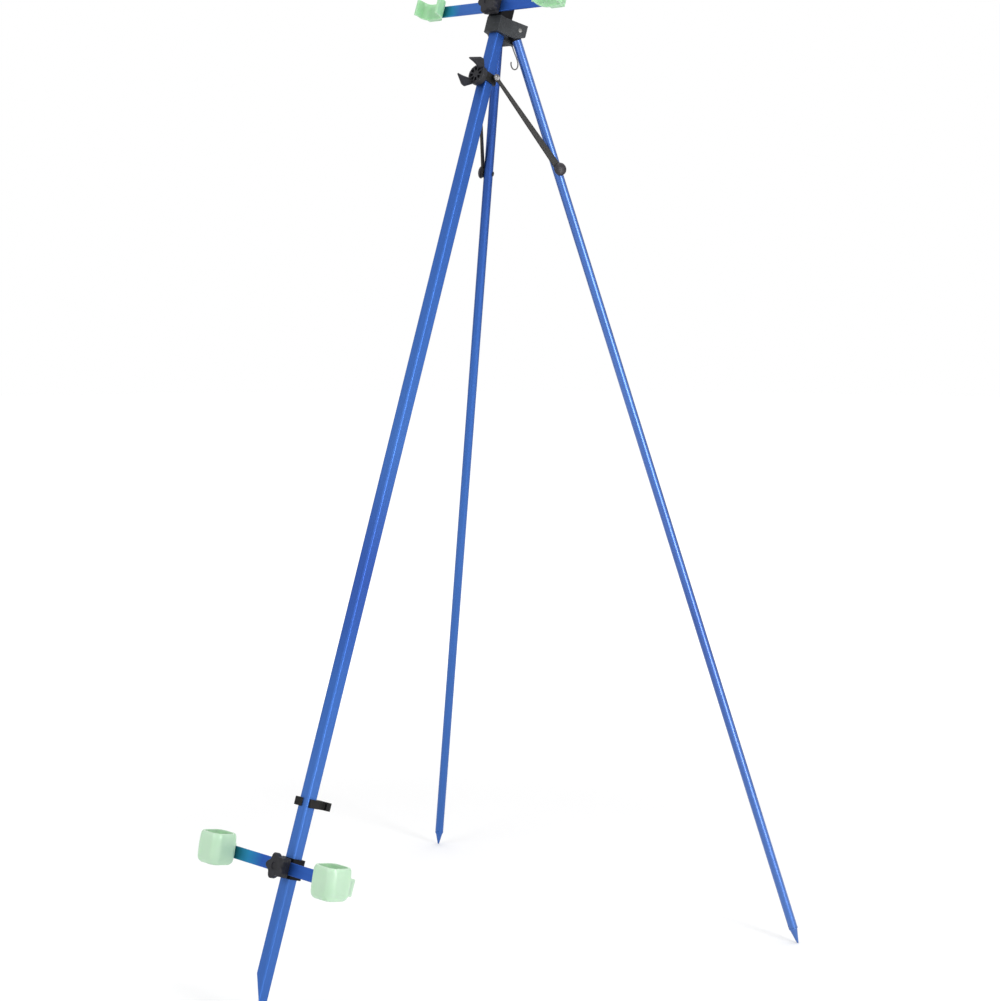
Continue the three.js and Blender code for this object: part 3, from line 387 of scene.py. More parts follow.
def facesOutward():
    bpy.ops.mesh.select_all(action="SELECT")
    bpy.ops.mesh.remove_doubles(threshold=weld)
    bpy.ops.mesh.delete_loose()
    bpy.ops.mesh.select_all(action="SELECT")
    bpy.ops.mesh.normals_make_consistent(inside=False)
    bpy.ops.object.mode_set(mode="OBJECT")


def addBox(name, low, high, cornerRound=0, along="z", steps=6):
    # a box from corner to corner, with the edges that run along one direction rounded
    freshStart()
    low, high = Vector(low), Vector(high)
    bpy.ops.mesh.primitive_cube_add(size=1, location=(low + high) / 2)
    piece = named(name)
    piece.scale = high - low
    bpy.ops.object.transform_apply(location=True, rotation=True, scale=True)
    if cornerRound:
        way = Vector({"x": (1, 0, 0), "y": (0, 1, 0), "z": (0, 0, 1)}[along])
        editing(piece)
        pick("EDGE", lambda edge: abs((edge.verts[0].co - edge.verts[1].co).normalized() @ way) > endsAlong)
        bpy.ops.mesh.bevel(offset=cornerRound, segments=steps, affect="EDGES")
        bpy.ops.object.mode_set(mode="OBJECT")
    return piece


def addRod(name, radius, low, high, centre=(0, 0), sides=48):
    freshStart()
    bpy.ops.mesh.primitive_cylinder_add(vertices=sides, radius=radius, depth=high - low,
                                        location=(*centre, (low + high) / 2))
    piece = named(name)
    bpy.ops.object.transform_apply(location=True, rotation=True, scale=True)
    return piece


def openTube(piece, wall, burr):
    # a closed rod gets open ends, a wall and broken edges
    editing(piece)
    pick("FACE", lambda face: abs(face.normal.z) > facesAlong)
    bpy.ops.mesh.delete(type="FACE")
    bpy.ops.object.mode_set(mode="OBJECT")
    applyModifier(piece, "SOLIDIFY", thickness=wall, offset=-1)
    softEdges(piece, burr, rounds=2, angle=40)


def drawChain(name, points):
    # one point is extruded from place to place
    freshStart()
    bpy.ops.mesh.primitive_plane_add(size=0.01)
    piece = named(name)
    editing(piece)
    bpy.ops.mesh.select_mode(type="VERT")
    bpy.ops.mesh.select_all(action="SELECT")
    bpy.ops.mesh.merge(type="CENTER")
    here = Vector(points[0])
    bpy.ops.transform.translate(value=here)
    for point in points[1:]:
        extrudeBy(Vector(point) - here)
        here = Vector(point)
    return piece


def cutPlate(name, outline, low, high):
    # an outline, closed and filled, with its thickness along +Z
    points = [Vector((*point, low)) for point in outline]
    piece = drawChain(name, points)
    pick("VERT", lambda vert: min((vert.co - points[0]).length, (vert.co - points[-1]).length) < 2 * weld)
    bpy.ops.mesh.edge_face_add()
    bpy.ops.mesh.select_all(action="SELECT")
    bpy.ops.mesh.edge_face_add()
    extrudeBy((0, 0, high - low))
    facesOutward()
    return piece


def spinRound(name, profile, steps=48):
    # radius and height pairs, from the axis and back to it, spun about +Z
    piece = drawChain(name, [(radius, 0, height) for radius, height in profile])
    bpy.ops.mesh.select_all(action="SELECT")
    bpy.ops.mesh.spin(steps=steps, angle=2 * math.pi, center=(0, 0, 0), axis=(0, 0, 1), use_auto_merge=True)
    facesOutward()
    return piece


def applyModifier(piece, kind, **settings):
    only(piece)
    bpy.ops.object.modifier_add(type=kind)
    modifier = piece.modifiers[-1]
    for key, value in settings.items():
        setattr(modifier, key, value)
    bpy.ops.object.modifier_apply(modifier=modifier.name)


def combine(piece, other, operation):
    applyModifier(piece, "BOOLEAN", operation=operation, object=other, solver="EXACT")
    bpy.data.objects.remove(other)


def softEdges(piece, width, rounds=3, angle=35):
    # the clamp narrows a piece's whole bevel to what its tightest spot allows: next to nothing is left of it on the
    # head, the leg tops, the brace clamp, the lower bracket and the cups' lips
    applyModifier(piece, "BEVEL", width=width, segments=rounds, limit_method="ANGLE",
                  angle_limit=math.radians(angle), use_clamp_overlap=True)


def place(piece, matrix):
    piece.data.transform(matrix)
    if matrix.determinant() < 0:
        piece.data.flip_normals()
    return piece


def dress(piece, finish, body, nodes, smooth=32):
    only(piece)
    bpy.ops.object.shade_smooth_by_angle(angle=math.radians(smooth))
    applyModifier(piece, "WEIGHTED_NORMAL", keep_sharp=True)
    piece.data.materials.clear()
    piece.data.materials.append(finish)
    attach(piece, body)
    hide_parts(*nodes)
    return piece


def twin(piece, name):
    other = bpy.data.objects.new(name, piece.data.copy())
    other.data.name = name
    bpy.context.scene.collection.objects.link(other)
    return other


def dressPair(piece, matrix, finish, body, node, smooth=32):
    # body and node are names that end in right and left, or one body for both sides
    for side, turn in (("Right", Matrix.Identity(4)), ("Left", mirror)):
        name = side.lower()
        look = finish if not isinstance(finish, dict) else finish[side]
        other = place(twin(piece, piece.name + side), turn @ matrix)
        dress(other, look, body.format(name), [node.format(name)], smooth)
    bpy.data.objects.remove(piece)


def roundedCopy(name, node, width, rounds=2):
    # a CAD node's shape with a bevel along its edges
    piece = twin(frame["nodes"][node], name)
    editing(piece)
    bpy.ops.mesh.customdata_custom_splitnormals_clear()
    bpy.ops.mesh.select_all(action="SELECT")
    bpy.ops.mesh.remove_doubles(threshold=weld)
    bpy.ops.mesh.dissolve_limited(angle_limit=math.radians(0.6))
    bpy.ops.object.mode_set(mode="OBJECT")
    softEdges(piece, width, rounds)
    return piece


# ---- front leg

frontTube = {"half": 0.010, "round": 0.003, "wall": 0.0015, "top": 0.045, "tip": -1.66175,
             "cutSlope": 2.9919, "cutOut": 0.012542, "burr": 0.0004}


def makeFrontTube(size):
    half = size["half"]
    piece = addBox("frontLeg", (-half, -half, size["tip"]), (half, half, size["top"]), size["round"])
    # the bias cut leaves the rear right corner longest
    out, slope = (size[key] / math.sqrt(2) for key in ("cutOut", "cutSlope"))
    editing(piece)
    bpy.ops.mesh.select_all(action="SELECT")
    bpy.ops.mesh.bisect(plane_co=(out, out, size["tip"]), plane_no=Vector((slope, slope, 1)).normalized(),
                        clear_inner=True)
    openTube(piece, size["wall"], size["burr"])
    return place(piece, frontFrame)


dress(makeFrontTube(frontTube), finishes["frontLeg"], "stand", ["front_leg"])
print("front leg made")

# ---- rear legs

rearTube = {"radius": 0.008, "wall": 0.0012, "start": -0.013, "spike": 0.029, "burr": 0.0003, "pinHole": 0.0013,
            "pinHoleUp": 0.0045}
spike = {"tip": 0.0015, "neck": 0.007, "collar": 0.0025, "plug": 0.018, "plugRadius": 0.0065, "soft": 0.0004}
legTopSoft = 0.0006
legDirection = legFrame.to_3x3() @ Vector((0, 0, -1))
pinAxisHigh = (legFrame @ Vector((-stance["legOffPin"], 0, 0))).z
legSlope = math.acos(-legDirection.z)
legLength = (pinAxisHigh - spike["tip"] * math.sin(legSlope)) / math.cos(legSlope)
legCentre = shifted(-stance["legOffPin"], 0, 0)


def makeRearTube(size):
    low = -legLength + size["spike"] + seam
    piece = addRod("rearLeg", size["radius"], low, size["start"], sides=64)
    openTube(piece, size["wall"], size["burr"])
    drill = place(addRod("drill", size["pinHole"], 0, 2 * size["radius"], sides=20),
                  shifted(0, 0, low + size["pinHoleUp"]) @ turned("Y", -90))
    combine(piece, drill, "DIFFERENCE")
    return piece


def makeSpike(size):
    shoulder = -legLength + rearTube["spike"]
    radius = rearTube["radius"]
    piece = spinRound("footSpike", (
        (0, -legLength), (size["tip"], -legLength), (size["neck"], shoulder - size["collar"]),
        (radius, shoulder - size["collar"]), (radius, shoulder), (size["plugRadius"], shoulder),
        (size["plugRadius"], shoulder + size["plug"]), (0, shoulder + size["plug"])), steps=64)
    softEdges(piece, size["soft"], angle=25)
    return piece


legFinish = {"Right": finishes["rearLegRight"], "Left": finishes["rearLegLeft"]}
dressPair(makeRearTube(rearTube), legFrame @ legCentre, legFinish, "rear_leg_{}", "rear_leg_{}")
dressPair(makeSpike(spike), legFrame @ legCentre, legFinish, "rear_leg_{}", "foot_spike_{}")
dressPair(roundedCopy("legTop", "leg_top_right", legTopSoft), Matrix.Identity(4), finishes["clamp"], "rear_leg_{}",
          "leg_top_{}")
print("rear legs made")

# ---- head, brackets, clip and clamp keep the CAD shape, with a bevel and a worn finish

for name, node, width, finish, body in (
        ("headBody", "head_body", 0.0018, "head", "stand"),
        ("upperBracket", "upper_bracket", 0.0010, "bracket", "stand"),
        ("lowerBracket", "lower_bracket", 0.0010, "bracket", "stand"),
        ("legClip", "leg_clip", 0.0008, "clamp", "stand"),
        ("braceClamp", "brace_clamp", 0.0010, "clamp", "brace_slider")):
    dress(roundedCopy(name, node, width, rounds=3), finishes[finish], body, [node])
print("head and brackets made")

# ---- hinge pins, bolts, strut pins and the domes over the strut bolts

# a head's straight side and its shoulder as shares of its rise, and its top as a share of its radius
headShares = {"side": 0.45, "shoulder": 0.85, "top": 0.72}
pinSoft = 0.0003
hingePin = {"radius": 0.0025, "reach": 0.0123, "inner": -0.0125, "head": 0.0038, "rise": 0.0016}
strutBolt = {"radius": 0.0024, "head": 0.0042, "thick": 0.0012, "start": -0.0083, "reach": 0.0146}
strutPin = {"radius": 0.0024, "near": 0.0083, "far": 0.0116, "head": 0.0056, "rise": 0.0026}
clampBolt = {"radius": 0.003, "head": 0.0055, "rise": 0.0032, "tail": -0.0138, "pastKnob": 0.0077}
strutDome = {"radius": 0.011, "base": 0.0116, "rim": 0.001, "rise": 0.0054, "bore": 0.0027, "boreDepth": 0.0033,
             "steps": 12, "soft": 0.0005}
strutDown = 0.2386


def makePin(name, low, radius, reach, head, rise):
    side, shoulder = (reach + headShares[key] * rise for key in ("side", "shoulder"))
    piece = spinRound(name, ((0, low), (radius, low), (radius, reach), (head, reach), (head, side),
                             (headShares["top"] * head, shoulder), (0, reach + rise)), steps=40)
    softEdges(piece, pinSoft, rounds=2, angle=25)
    return piece


def makeDome(size):
    profile = [(size["bore"], size["base"]), (size["radius"], size["base"])]
    for step in range(size["steps"]):
        angle = math.pi / 2 * step / size["steps"]
        profile.append((size["radius"] * math.cos(angle),
                        size["base"] + size["rim"] + size["rise"] * math.sin(angle)))
    top = size["base"] + size["rim"] + size["rise"]
    profile += [(0, top), (0, size["base"] + size["boreDepth"]), (size["bore"], size["base"] + size["boreDepth"]),
                (size["bore"], size["base"])]
    piece = spinRound("strutDome", profile, steps=56)
    softEdges(piece, size["soft"], angle=40)
    return piece


dressPair(makePin("hingePin", hingePin["inner"], hingePin["radius"], hingePin["reach"], hingePin["head"],
                  hingePin["rise"]),
          planeFrame @ shifted(stance["pinOut"], 0, stance["pinUp"]) @ facing, finishes["wire"], "stand",
          "hinge_pin_{}")
strutAxis = legFrame @ shifted(-stance["legOffPin"], 0, -strutDown) @ facing
bolt = makePin("strutBolt", -strutBolt["reach"], strutBolt["radius"], -strutBolt["start"], strutBolt["head"],
               strutBolt["thick"])
dressPair(bolt, strutAxis @ turned("X", 180), finishes["bolt"], "rear_leg_{}", "strut_bolt_{}")
dressPair(makeDome(strutDome), strutAxis, finishes["dome"], "rear_leg_{}", "strut_dome_{}",
          smooth=40)
print("pins and domes made")

# ---- struts

strutBar = {"near": 0.0083, "far": 0.0113, "top": 0.0042, "middle": 0.003, "low": 0.0062, "eye": 0.009,
            "neck": 0.0084, "earOut": -0.0121, "earUp": -0.0852, "halfTurn": 120, "steps": 18, "soft": 0.0007,
            "hole": 0.0027, "holeFrom": 0.007, "holeTo": 0.013}
strutLow = (shifted(stance["pinOut"], 0, stance["pinUp"]) @ turned("Y", -stance["spread"])
            @ Vector((-stance["legOffPin"], 0, -strutDown)))
strutHigh = Vector((strutBar["earOut"], 0, strutBar["earUp"]))
strutLength = (strutHigh - strutLow).length
strutAngle = math.atan2(strutHigh.z - strutLow.z, strutHigh.x - strutLow.x)
strutPlace = planeFrame @ Matrix.Translation(strutLow) @ turned("Y", -math.degrees(strutAngle)) @ facing


def makeStrut(size):
    def roundEnd(centre, radius, middle):
        for step in range(size["steps"] + 1):
            angle = math.radians(middle + size["halfTurn"] * (2 * step / size["steps"] - 1))
            yield centre + radius * math.cos(angle), radius * math.sin(angle)

    neck = strutLength - size["neck"]
    outline = [*roundEnd(0, size["eye"], 180), (size["eye"], -size["low"]), (neck, -size["middle"]),
               *roundEnd(strutLength, size["top"], 0), (neck, size["middle"]), (size["eye"], size["low"])]
    piece = cutPlate("strut", outline, size["near"], size["far"])
    softEdges(piece, size["soft"])
    for along in (0, strutLength):
        drill = addRod("drill", size["hole"], size["holeFrom"], size["holeTo"], (along, 0), sides=32)
        combine(piece, drill, "DIFFERENCE")
    return piece


dressPair(makeStrut(strutBar), strutPlace, finishes["strut"], "strut_{}", "strut_{}")
dressPair(makePin("strutPin", strutPin["near"], strutPin["radius"], strutPin["far"], strutPin["head"],
                  strutPin["rise"]),
          planeFrame @ Matrix.Translation(strutHigh) @ facing, finishes["pin"], "strut_{}", "strut_pin_{}")
print("struts made")

# ---- crossbars with their saddles, bolts and star knobs

barHeights = {"upper": 0.0334, "lower": -1.4175}
bracketFronts = {"upper": 0.017, "lower": 0.013}
crossbar = {"half": 0.148, "tall": 0.020, "thick": 0.004, "round": 0.0012, "soft": 0.0003}
saddle = {"width": 0.028, "tall": 0.031, "depth": 0.009, "round": 0.003, "soft": 0.0012, "bore": 0.0033}
starKnob = {"radius": 0.021, "valley": 0.0155, "lobes": 5, "depth": 0.011, "soft": 0.0021, "sides": 80,
            "recess": 0.0065, "recessDepth": 0.0015, "bore": 0.0055, "boreDepth": 0.008, "lip": 0.0003,
            "sameWave": 0.002}


def makeCrossbar(name, front):
    back = front + seam
    piece = addBox(name, (-crossbar["half"], -back - crossbar["thick"], -crossbar["tall"] / 2),
                   (crossbar["half"], -back, crossbar["tall"] / 2), crossbar["round"], "x", steps=5)
    softEdges(piece, crossbar["soft"], rounds=2, angle=50)
    return piece


def makeSaddle(name, back):
    piece = addBox(name, (-saddle["width"] / 2, -saddle["tall"] / 2, back),
                   (saddle["width"] / 2, saddle["tall"] / 2, back + saddle["depth"]), saddle["round"])
    softEdges(piece, saddle["soft"], angle=60)
    drill = addRod("drill", saddle["bore"], back - cutPast, back + saddle["depth"] + cutPast, sides=24)
    combine(piece, drill, "DIFFERENCE")
    return piece


def makeStarKnob(name, back):
    size = starKnob
    middle, swing = (size["radius"] + size["valley"]) / 2, (size["radius"] - size["valley"]) / 2
    piece = addRod(name, middle, back, back + size["depth"], sides=size["sides"])
    editing(piece)

    def waveAt(angle):
        return -math.cos(size["lobes"] * angle)

    # the points at one height of the wave are moved in or out together
    waves = dict.fromkeys(round(waveAt(2 * math.pi * step / size["sides"]), 4) for step in range(size["sides"]))
    for wave in waves:
        pick("VERT", lambda vert: abs(waveAt(math.atan2(vert.co.y, vert.co.x)) - wave) < size["sameWave"])
        resizeBy(1 + swing * wave / middle)
    bpy.ops.object.mode_set(mode="OBJECT")
    softEdges(piece, size["soft"], rounds=5, angle=60)
    top = back + size["depth"]
    combine(piece, addRod("drill", size["recess"], top - size["recessDepth"], top + cutPast), "DIFFERENCE")
    combine(piece, addRod("drill", size["bore"], back - cutPast, back + size["boreDepth"], sides=32), "DIFFERENCE")
    softEdges(piece, size["lip"], rounds=2, angle=70)
    return piece


for end in barHeights:
    front, level = bracketFronts[end], shifted(0, 0, barHeights[end])
    saddleBack = front + seam + crossbar["thick"] + seam
    knobBack = saddleBack + saddle["depth"] + seam
    dress(place(makeCrossbar(end + "Crossbar", front), frontFrame @ level), finishes[end + "Bar"], end + "_bar",
          [end + "_crossbar"])
    dress(place(makeSaddle(end + "Saddle", saddleBack), frontFrame @ level @ facing), finishes["knob"],
          end + "_bar", [end + "_saddle"])
    dress(place(makeStarKnob(end + "Knob", knobBack), frontFrame @ level @ facing), finishes["knob"],
          end + "_knob", [end + "_knob"], smooth=40)
    bolt = makePin(end + "Bolt", -knobBack - clampBolt["pastKnob"], clampBolt["radius"], -clampBolt["tail"],
                   clampBolt["head"], clampBolt["rise"])
    dress(place(bolt, frontFrame @ level @ facing @ turned("X", 180)), finishes["steel"], "stand",
          [end + "_bolt"])
print("crossbars and knobs made")

# ---- wing knob

wingKnob = {"height": -0.090, "radius": 0.017, "back": 0.0148, "depth": 0.0115, "soft": 0.0025, "rim": 0.0045,
            "core": 0.006, "pocket": 0.004, "sides": 48, "ribs": 8, "ribTurn": 7.5, "tilt": 57, "thick": 0.0055,
            "reach": 0.028, "rise": 0.031, "bore": 0.0033, "boreDepth": 0.008, "edge": 0.0004, "wingSoft": 0.0013}
# shares of the wing's reach and rise
wingOutline = ((0.38, -0.25), (0.55, -0.25), (1, 0.18), (0.98, 0.37), (0.62, 0.98), (0.53, 1), (0.5, 0.62),
               (0.41, 0.15))


def makeWingKnob(size):
    front = size["back"] + size["depth"]
    piece = addRod("wingKnobBody", size["radius"], size["back"], front, sides=size["sides"])
    editing(piece)
    pick("EDGE", lambda edge: abs(edge.verts[0].co.z - edge.verts[1].co.z) < weld)
    bpy.ops.mesh.bevel(offset=size["soft"], segments=5, affect="EDGES")
    pick("FACE", lambda face: face.normal.z > endsAlong and len(face.verts) == size["sides"])
    bpy.ops.mesh.inset(thickness=size["rim"] - size["soft"])
    bpy.ops.mesh.inset(thickness=size["radius"] - size["rim"] - size["core"])
    step = 360 / size["ribs"]

    def inPocket(face):
        spot = face.calc_center_median()
        if face.normal.z < endsAlong or not size["core"] < spot.xy.length < size["radius"] - size["rim"]:
            return False
        offRib = (math.degrees(math.atan2(spot.y, spot.x)) - step / 2) % step
        return min(offRib, step - offRib) > size["ribTurn"]

    pick("FACE", inPocket)
    extrudeBy((0, 0, -size["pocket"]))
    facesOutward()
    softEdges(piece, size["edge"], rounds=2, angle=60)
    points = [(out * size["reach"], front + rise * size["rise"]) for out, rise in wingOutline]
    for half in (0, 180):
        wing = cutPlate("wing", points, -size["thick"] / 2, size["thick"] / 2)
        softEdges(wing, size["wingSoft"], rounds=4)
        combine(piece, place(wing, turned("Z", half) @ facing), "UNION")
    drill = addRod("drill", size["bore"], size["back"] - cutPast, size["back"] + size["boreDepth"], sides=24)
    combine(piece, drill, "DIFFERENCE")
    return place(piece, frontFrame @ shifted(0, 0, size["height"]) @ facing @ turned("Z", size["tilt"]))


dress(makeWingKnob(wingKnob), finishes["knob"], "wing_knob", ["wing_knob"], smooth=38)
print("wing knob made")

# ---- butt cups and rod rests

holder = {"spacing": 0.1325, "wall": 0.003, "side": 0.049, "round": 0.014}
sleeve = {"inner": -0.009, "outer": 0.018, "tall": 0.027, "wall": 0.0024, "soft": 0.0016}
cup = {"low": -0.0235, "tall": 0.050, "drawIn": 0.005, "floor": 0.004, "tilt": 8, "lip": 0.0011,
       "floorReach": 0.0005}
# shares of the cup's height, and of how far its sides draw in there
cupProfile = ((0, 1), (0.02, 0.70), (0.06, 0.38), (0.12, 0.12), (0.2, 0), (0.35, -0.05), (0.5, -0.07),
              (0.65, -0.05), (0.79, 0), (0.87, 0.05), (0.93, 0.14), (1, 0.44))
rest = {"tall": 0.0286, "depth": 0.026, "frontDrop": 0.001, "lip": 0.002, "soft": 0.0007, "steps": 12}


def makeBarrel(name, levels):
    # a rounded square whose side stands at each level's half width
    lowest, highest = levels[0][0], levels[-1][0]
    full = holder["side"] / 2
    piece = addBox(name, (-full, -full, lowest), (full, full, highest), holder["round"], steps=9)
    editing(piece)
    for height, _ in levels[1:-1]:
        bpy.ops.mesh.select_all(action="SELECT")
        bpy.ops.mesh.bisect(plane_co=(0, 0, height), plane_no=(0, 0, 1))
    for height, half in levels:
        pick("VERT", lambda vert: abs(vert.co.z - height) < 10 * weld)
        resizeBy(half / full)
    facesOutward()
    return piece


def barSleeve(front):
    barBack = front + seam
    barFront = barBack + crossbar["thick"]
    block = addBox("sleeve", (sleeve["inner"], -barFront - holder["wall"], -sleeve["tall"] / 2),
                   (sleeve["outer"], -barBack + sleeve["wall"] + seam, sleeve["tall"] / 2), sleeve["soft"], "x",
                   steps=4)
    slot = addBox("slot", (-holder["side"], -barFront - seam, -crossbar["tall"] / 2 - seam),
                  (crossbar["half"] + seam - holder["spacing"], -barBack + seam, crossbar["tall"] / 2 + seam))
    return block, slot, -barFront - seam


def makeCup():
    block, slot, face = barSleeve(bracketFronts["lower"])
    half = holder["side"] / 2
    outer = [(cup["low"] + up * cup["tall"], half - drawn * cup["drawIn"]) for up, drawn in cupProfile]
    floor, rim = cup["low"] + cup["floor"], outer[-1]
    inner = [(floor, half - cup["drawIn"] - holder["wall"] / 2)]
    inner += [(height, side - holder["wall"]) for height, side in outer if height > floor + cup["floorReach"]]
    inner.append((rim[0] + cutPast, rim[1] - holder["wall"]))
    seat = shifted(0, face - half, 0) @ turned("X", cup["tilt"])
    piece = place(makeBarrel("buttCup", outer), seat)
    combine(piece, block, "UNION")
    combine(piece, slot, "DIFFERENCE")
    combine(piece, place(makeBarrel("hollow", inner), seat), "DIFFERENCE")
    softEdges(piece, cup["lip"], angle=50)
    return piece


def uOutline(face, tip):
    # the rest from above: two arms with a lip out at each tip, round corners at the back
    half, wall, bend = holder["side"] / 2, holder["wall"], holder["round"]

    def corner(side, radius, start, stop):
        for step in range(rest["steps"] + 1):
            angle = math.radians(start + (stop - start) * step / rest["steps"])
            yield side * (half - bend) + radius * math.cos(angle), face - bend + radius * math.sin(angle)

    lip = half + rest["lip"]
    return [(lip, tip), (lip, tip + wall), (half, tip + wall), *corner(1, bend, 0, 90), *corner(-1, bend, 90, 180),
            (-half, tip + wall), (-lip, tip + wall), (-lip, tip), (wall - half, tip),
            *corner(-1, bend - wall, 180, 90), *corner(1, bend - wall, 90, 0), (half - wall, tip)]


def makeRest():
    block, slot, face = barSleeve(bracketFronts["upper"])
    high, tip, root = rest["tall"] / 2, face - rest["depth"], face - holder["round"]
    piece = cutPlate("rodRest", uOutline(face, tip), -high, high)
    editing(piece)
    bpy.ops.mesh.select_all(action="SELECT")
    # the top slopes down from the round corners to the lips
    slope = Vector((0, -rest["frontDrop"], root - tip)).normalized()
    bpy.ops.mesh.bisect(plane_co=(0, root, high), plane_no=slope, use_fill=True, clear_outer=True)
    facesOutward()
    combine(piece, block, "UNION")
    combine(piece, slot, "DIFFERENCE")
    softEdges(piece, rest["soft"], angle=50)
    return piece


holderPlace = {end: frontFrame @ shifted(holder["spacing"], 0, barHeights[end]) for end in barHeights}
dressPair(makeCup(), holderPlace["lower"], finishes["cup"], "lower_bar", "butt_cup_{}", smooth=45)
dressPair(makeRest(), holderPlace["upper"], finishes["rest"], "upper_bar", "rod_rest_{}", smooth=45)
print("cups and rests made")

# ---- hook

hook = {"pin": (0, 0.041, -0.004), "wire": 0.0011, "eye": 0.0028, "eyeStart": -60, "eyeTurn": 300, "drop": 0.0355,
        "bow": 0.0105, "bend": 0.009, "turn": 205, "eyeSteps": 14, "dropSteps": 8, "bendSteps": 12,
        "stepsBetween": 6, "roundSteps": 4}


def hookPoints(size):
    # the eye round the pin, the bowed drop and the bend below
    points = []
    for step in range(size["eyeSteps"] + 1):
        angle = math.radians(size["eyeStart"] + size["eyeTurn"] * step / size["eyeSteps"])
        points.append((size["eye"] * math.cos(angle), size["eye"] * math.sin(angle) - seam))
    startY, startZ = points[-1]
    for step in range(1, size["dropSteps"]):
        share = step / size["dropSteps"]
        smooth = share * share * (3 - 2 * share)
        points.append((startY + (size["bow"] - startY) * smooth, startZ + (-size["drop"] - startZ) * share))
    for step in range(size["bendSteps"] + 1):
        angle = -math.radians(size["turn"] * step / size["bendSteps"])
        points.append((size["bow"] - size["bend"] + size["bend"] * math.cos(angle),
                       -size["drop"] + size["bend"] * math.sin(angle)))
    return [Vector((0, y, z)) for y, z in points]


def makeHook(size):
    points = hookPoints(size)
    lengths = [(b - a).length for a, b in zip(points, points[1:])]
    moments = ((a + b) / 2 * long for a, b, long in zip(points, points[1:], lengths))
    centre = sum(moments, Vector()) / sum(lengths)
    hang = Matrix.Rotation(-math.atan2(-centre.y, -centre.z), 4, "X")  # the weight hangs below the pin
    pin = frontFrame @ Vector(size["pin"])
    freshStart()
    bpy.ops.curve.primitive_nurbs_path_add()
    wire = bpy.context.object
    spline = wire.data.splines[0]
    spline.points.add(len(points) - len(spline.points))
    for slot, point in zip(spline.points, points):
        slot.co = (*(hang @ point), 1)
    spline.order_u, spline.use_endpoint_u = 3, True
    wire.data.resolution_u, wire.data.use_fill_caps = size["stepsBetween"], True
    wire.data.bevel_depth, wire.data.bevel_resolution = size["wire"], size["roundSteps"]
    bpy.ops.object.convert(target="MESH")
    piece = named("gearHook")
    editing(piece)
    facesOutward()
    return place(piece, Matrix.Translation(pin))


dress(makeHook(hook), finishes["wire"], "hook", ["gear_hook"], smooth=60)
# the CAD nodes that are kept as they are
for name in ("upper_insert", "lower_insert", "wing_stem", "hook_pin"):
    frame["nodes"][name].material_slots[0].material = finishes["steel"]
print("hook made")

# ---- studio

# each lamp or card has its place, what it faces, its size and its power, or its tint and glow
studio = {"worldOnObject": 0.62, "floor": (0.86, 0.86, 0.86), "floorRadius": 14, "floorSides": 96,
          "floorDrop": 0.0005, "glow": (0.16, 0.55), "glowFrom": (0.9, 2.4),
          "camera": (2.19073, -2.32330, 1.18394), "cameraTurn": (82.823, 0, 41.681), "lens": 69.13, "sensor": 36,
          "lamps": (
              ("Key strip", (3.0, -0.3, 1.3), (0, 0, 0.9), (0.70, 2.8), 44),
              ("Front fill", (-0.6, -3.8, 2.4), (0, 0, 0.8), (2.4, 1.8), 40),
              ("Overhead", (0.2, 0.2, 4.2), (0, 0, 0), (2.5, 2.5), 45)),
          "cards": (("Left card", (-2.6, -0.9, 1.1), (0, 0, 1.0), (1.1, 2.6), 0.01, 0),
                    ("Back card", (0.5, 2.9, 1.1), (0, 0, 1.0), (1.2, 2.6), 0.01, 0),
                    ("Bright card", (3.3, -0.3, 1.3), (0, 0, 0.9), (1.5, 3.0), 0.8, 4.0))}


def seenPlainly(tree):
    # 1 for the camera and for what gloss and clear pieces show of the background
    path = tree.nodes.new("ShaderNodeLightPath").outputs
    first = math2(tree, "MAXIMUM", path["Is Camera Ray"], path["Is Glossy Ray"])
    return math2(tree, "MAXIMUM", first, path["Is Transmission Ray"])


def makeWorld():
    world = bpy.data.worlds.new("Studio")
    bpy.context.scene.world = world
    world.use_nodes = True
    tree = world.node_tree
    background = tree.nodes["Background"]
    background.inputs["Color"].default_value = (1, 1, 1, 1)
    tree.links.new(spread(tree, seenPlainly(tree), 0, 1, studio["worldOnObject"], 1), background.inputs["Strength"])


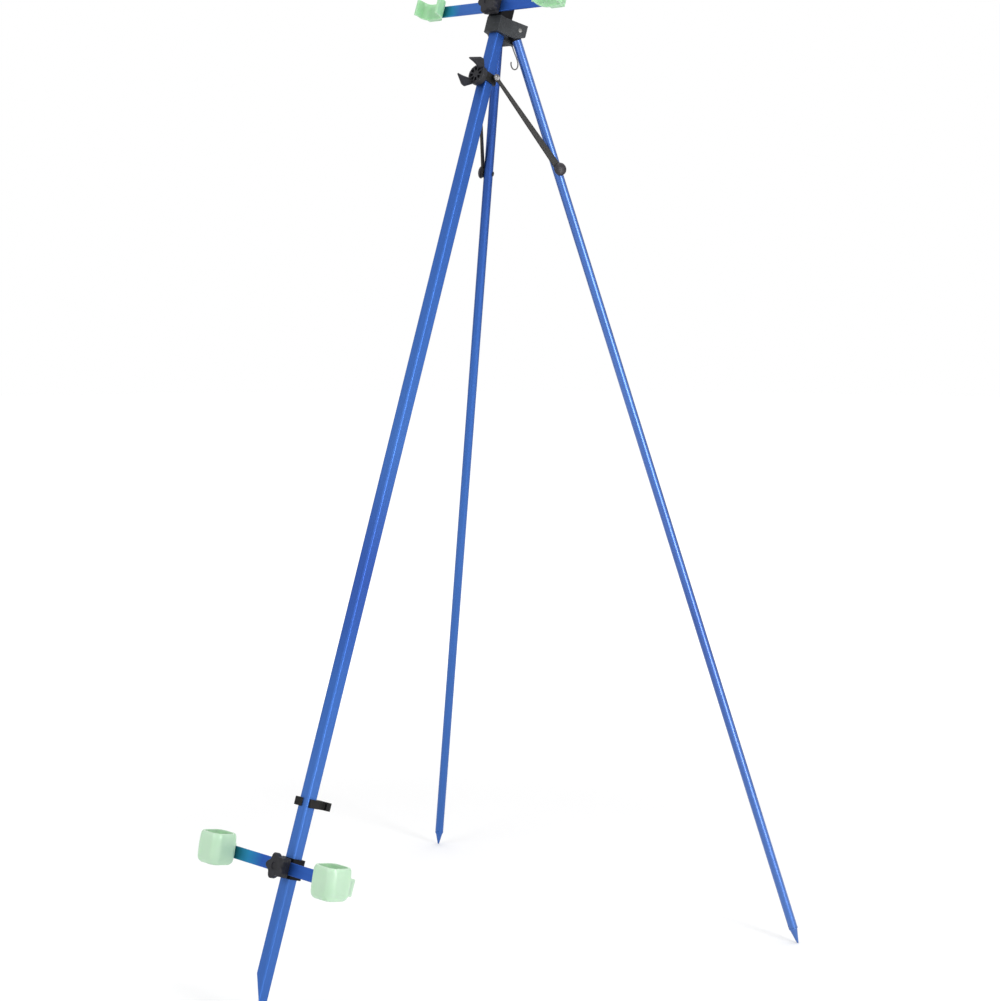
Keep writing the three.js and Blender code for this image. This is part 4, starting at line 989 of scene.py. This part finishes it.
def makeFloor():
    freshStart()
    bpy.ops.mesh.primitive_circle_add(vertices=studio["floorSides"], radius=studio["floorRadius"],
                                      fill_type="NGON", location=(0, 0, -studio["floorDrop"]))
    floor = named("studioFloor")
    material = bpy.data.materials.new("Pale floor")
    material.use_nodes = True
    tree = material.node_tree
    tree.nodes.remove(tree.nodes["Principled BSDF"])
    soft = addNode(tree, "BsdfDiffuse", {"Color": (*studio["floor"], 1)})
    away = addNode(tree, "VectorMath", {0: addNode(tree, "TexCoord").outputs["Object"]},
                   operation="LENGTH").outputs["Value"]
    level = spread(tree, away, *studio["glowFrom"], *studio["glow"], True)
    glow = addNode(tree, "Emission", {"Strength": math2(tree, "MULTIPLY", seenPlainly(tree), level)})
    both = addNode(tree, "AddShader", {0: soft.outputs[0], 1: glow.outputs[0]})
    tree.links.new(both.outputs[0], tree.nodes["Material Output"].inputs["Surface"])
    floor.data.materials.append(material)


def faceTo(spot, target):
    # the turn that makes a lamp or a card at one place face another
    return (Vector(target) - Vector(spot)).to_track_quat("-Z", "Y").to_euler()


def makeLamps():
    for name, spot, target, size, power in studio["lamps"]:
        lamp = bpy.data.lights.new(name, "AREA")
        lamp.shape, lamp.size, lamp.size_y, lamp.energy = "RECTANGLE", *size, power
        carrier = bpy.data.objects.new(name, lamp)
        bpy.context.scene.collection.objects.link(carrier)
        carrier.location, carrier.rotation_euler = spot, faceTo(spot, target)


def makeCards():
    # two dark cards and a bright one, never in the picture but as reflections
    for name, spot, target, size, tint, strength in studio["cards"]:
        freshStart()
        bpy.ops.mesh.primitive_plane_add(size=1)
        card = named(name)
        card.scale = (*size, 1)
        card.location, card.rotation_euler = spot, faceTo(spot, target)
        bpy.ops.object.transform_apply(location=True, rotation=True, scale=True)
        card.visible_camera = card.visible_diffuse = card.visible_shadow = False
        material, _ = newMaterial(name, Roughness=1.0, Base_Color=(tint, tint, tint, 1),
                                  Emission_Color=(1, 1, 1, 1), Emission_Strength=strength)
        card.data.materials.append(material)


def makeCamera():
    lens = bpy.data.cameras.new("Camera")
    lens.lens, lens.sensor_width = studio["lens"], studio["sensor"]
    camera = bpy.data.objects.new("Camera", lens)
    bpy.context.scene.collection.objects.link(camera)
    camera.location = studio["camera"]
    camera.rotation_euler = [math.radians(angle) for angle in studio["cameraTurn"]]
    bpy.context.scene.camera = camera


makeWorld()
makeFloor()
makeLamps()
makeCards()
makeCamera()
bpy.context.scene.view_settings.view_transform = "Standard"
print("studio made")
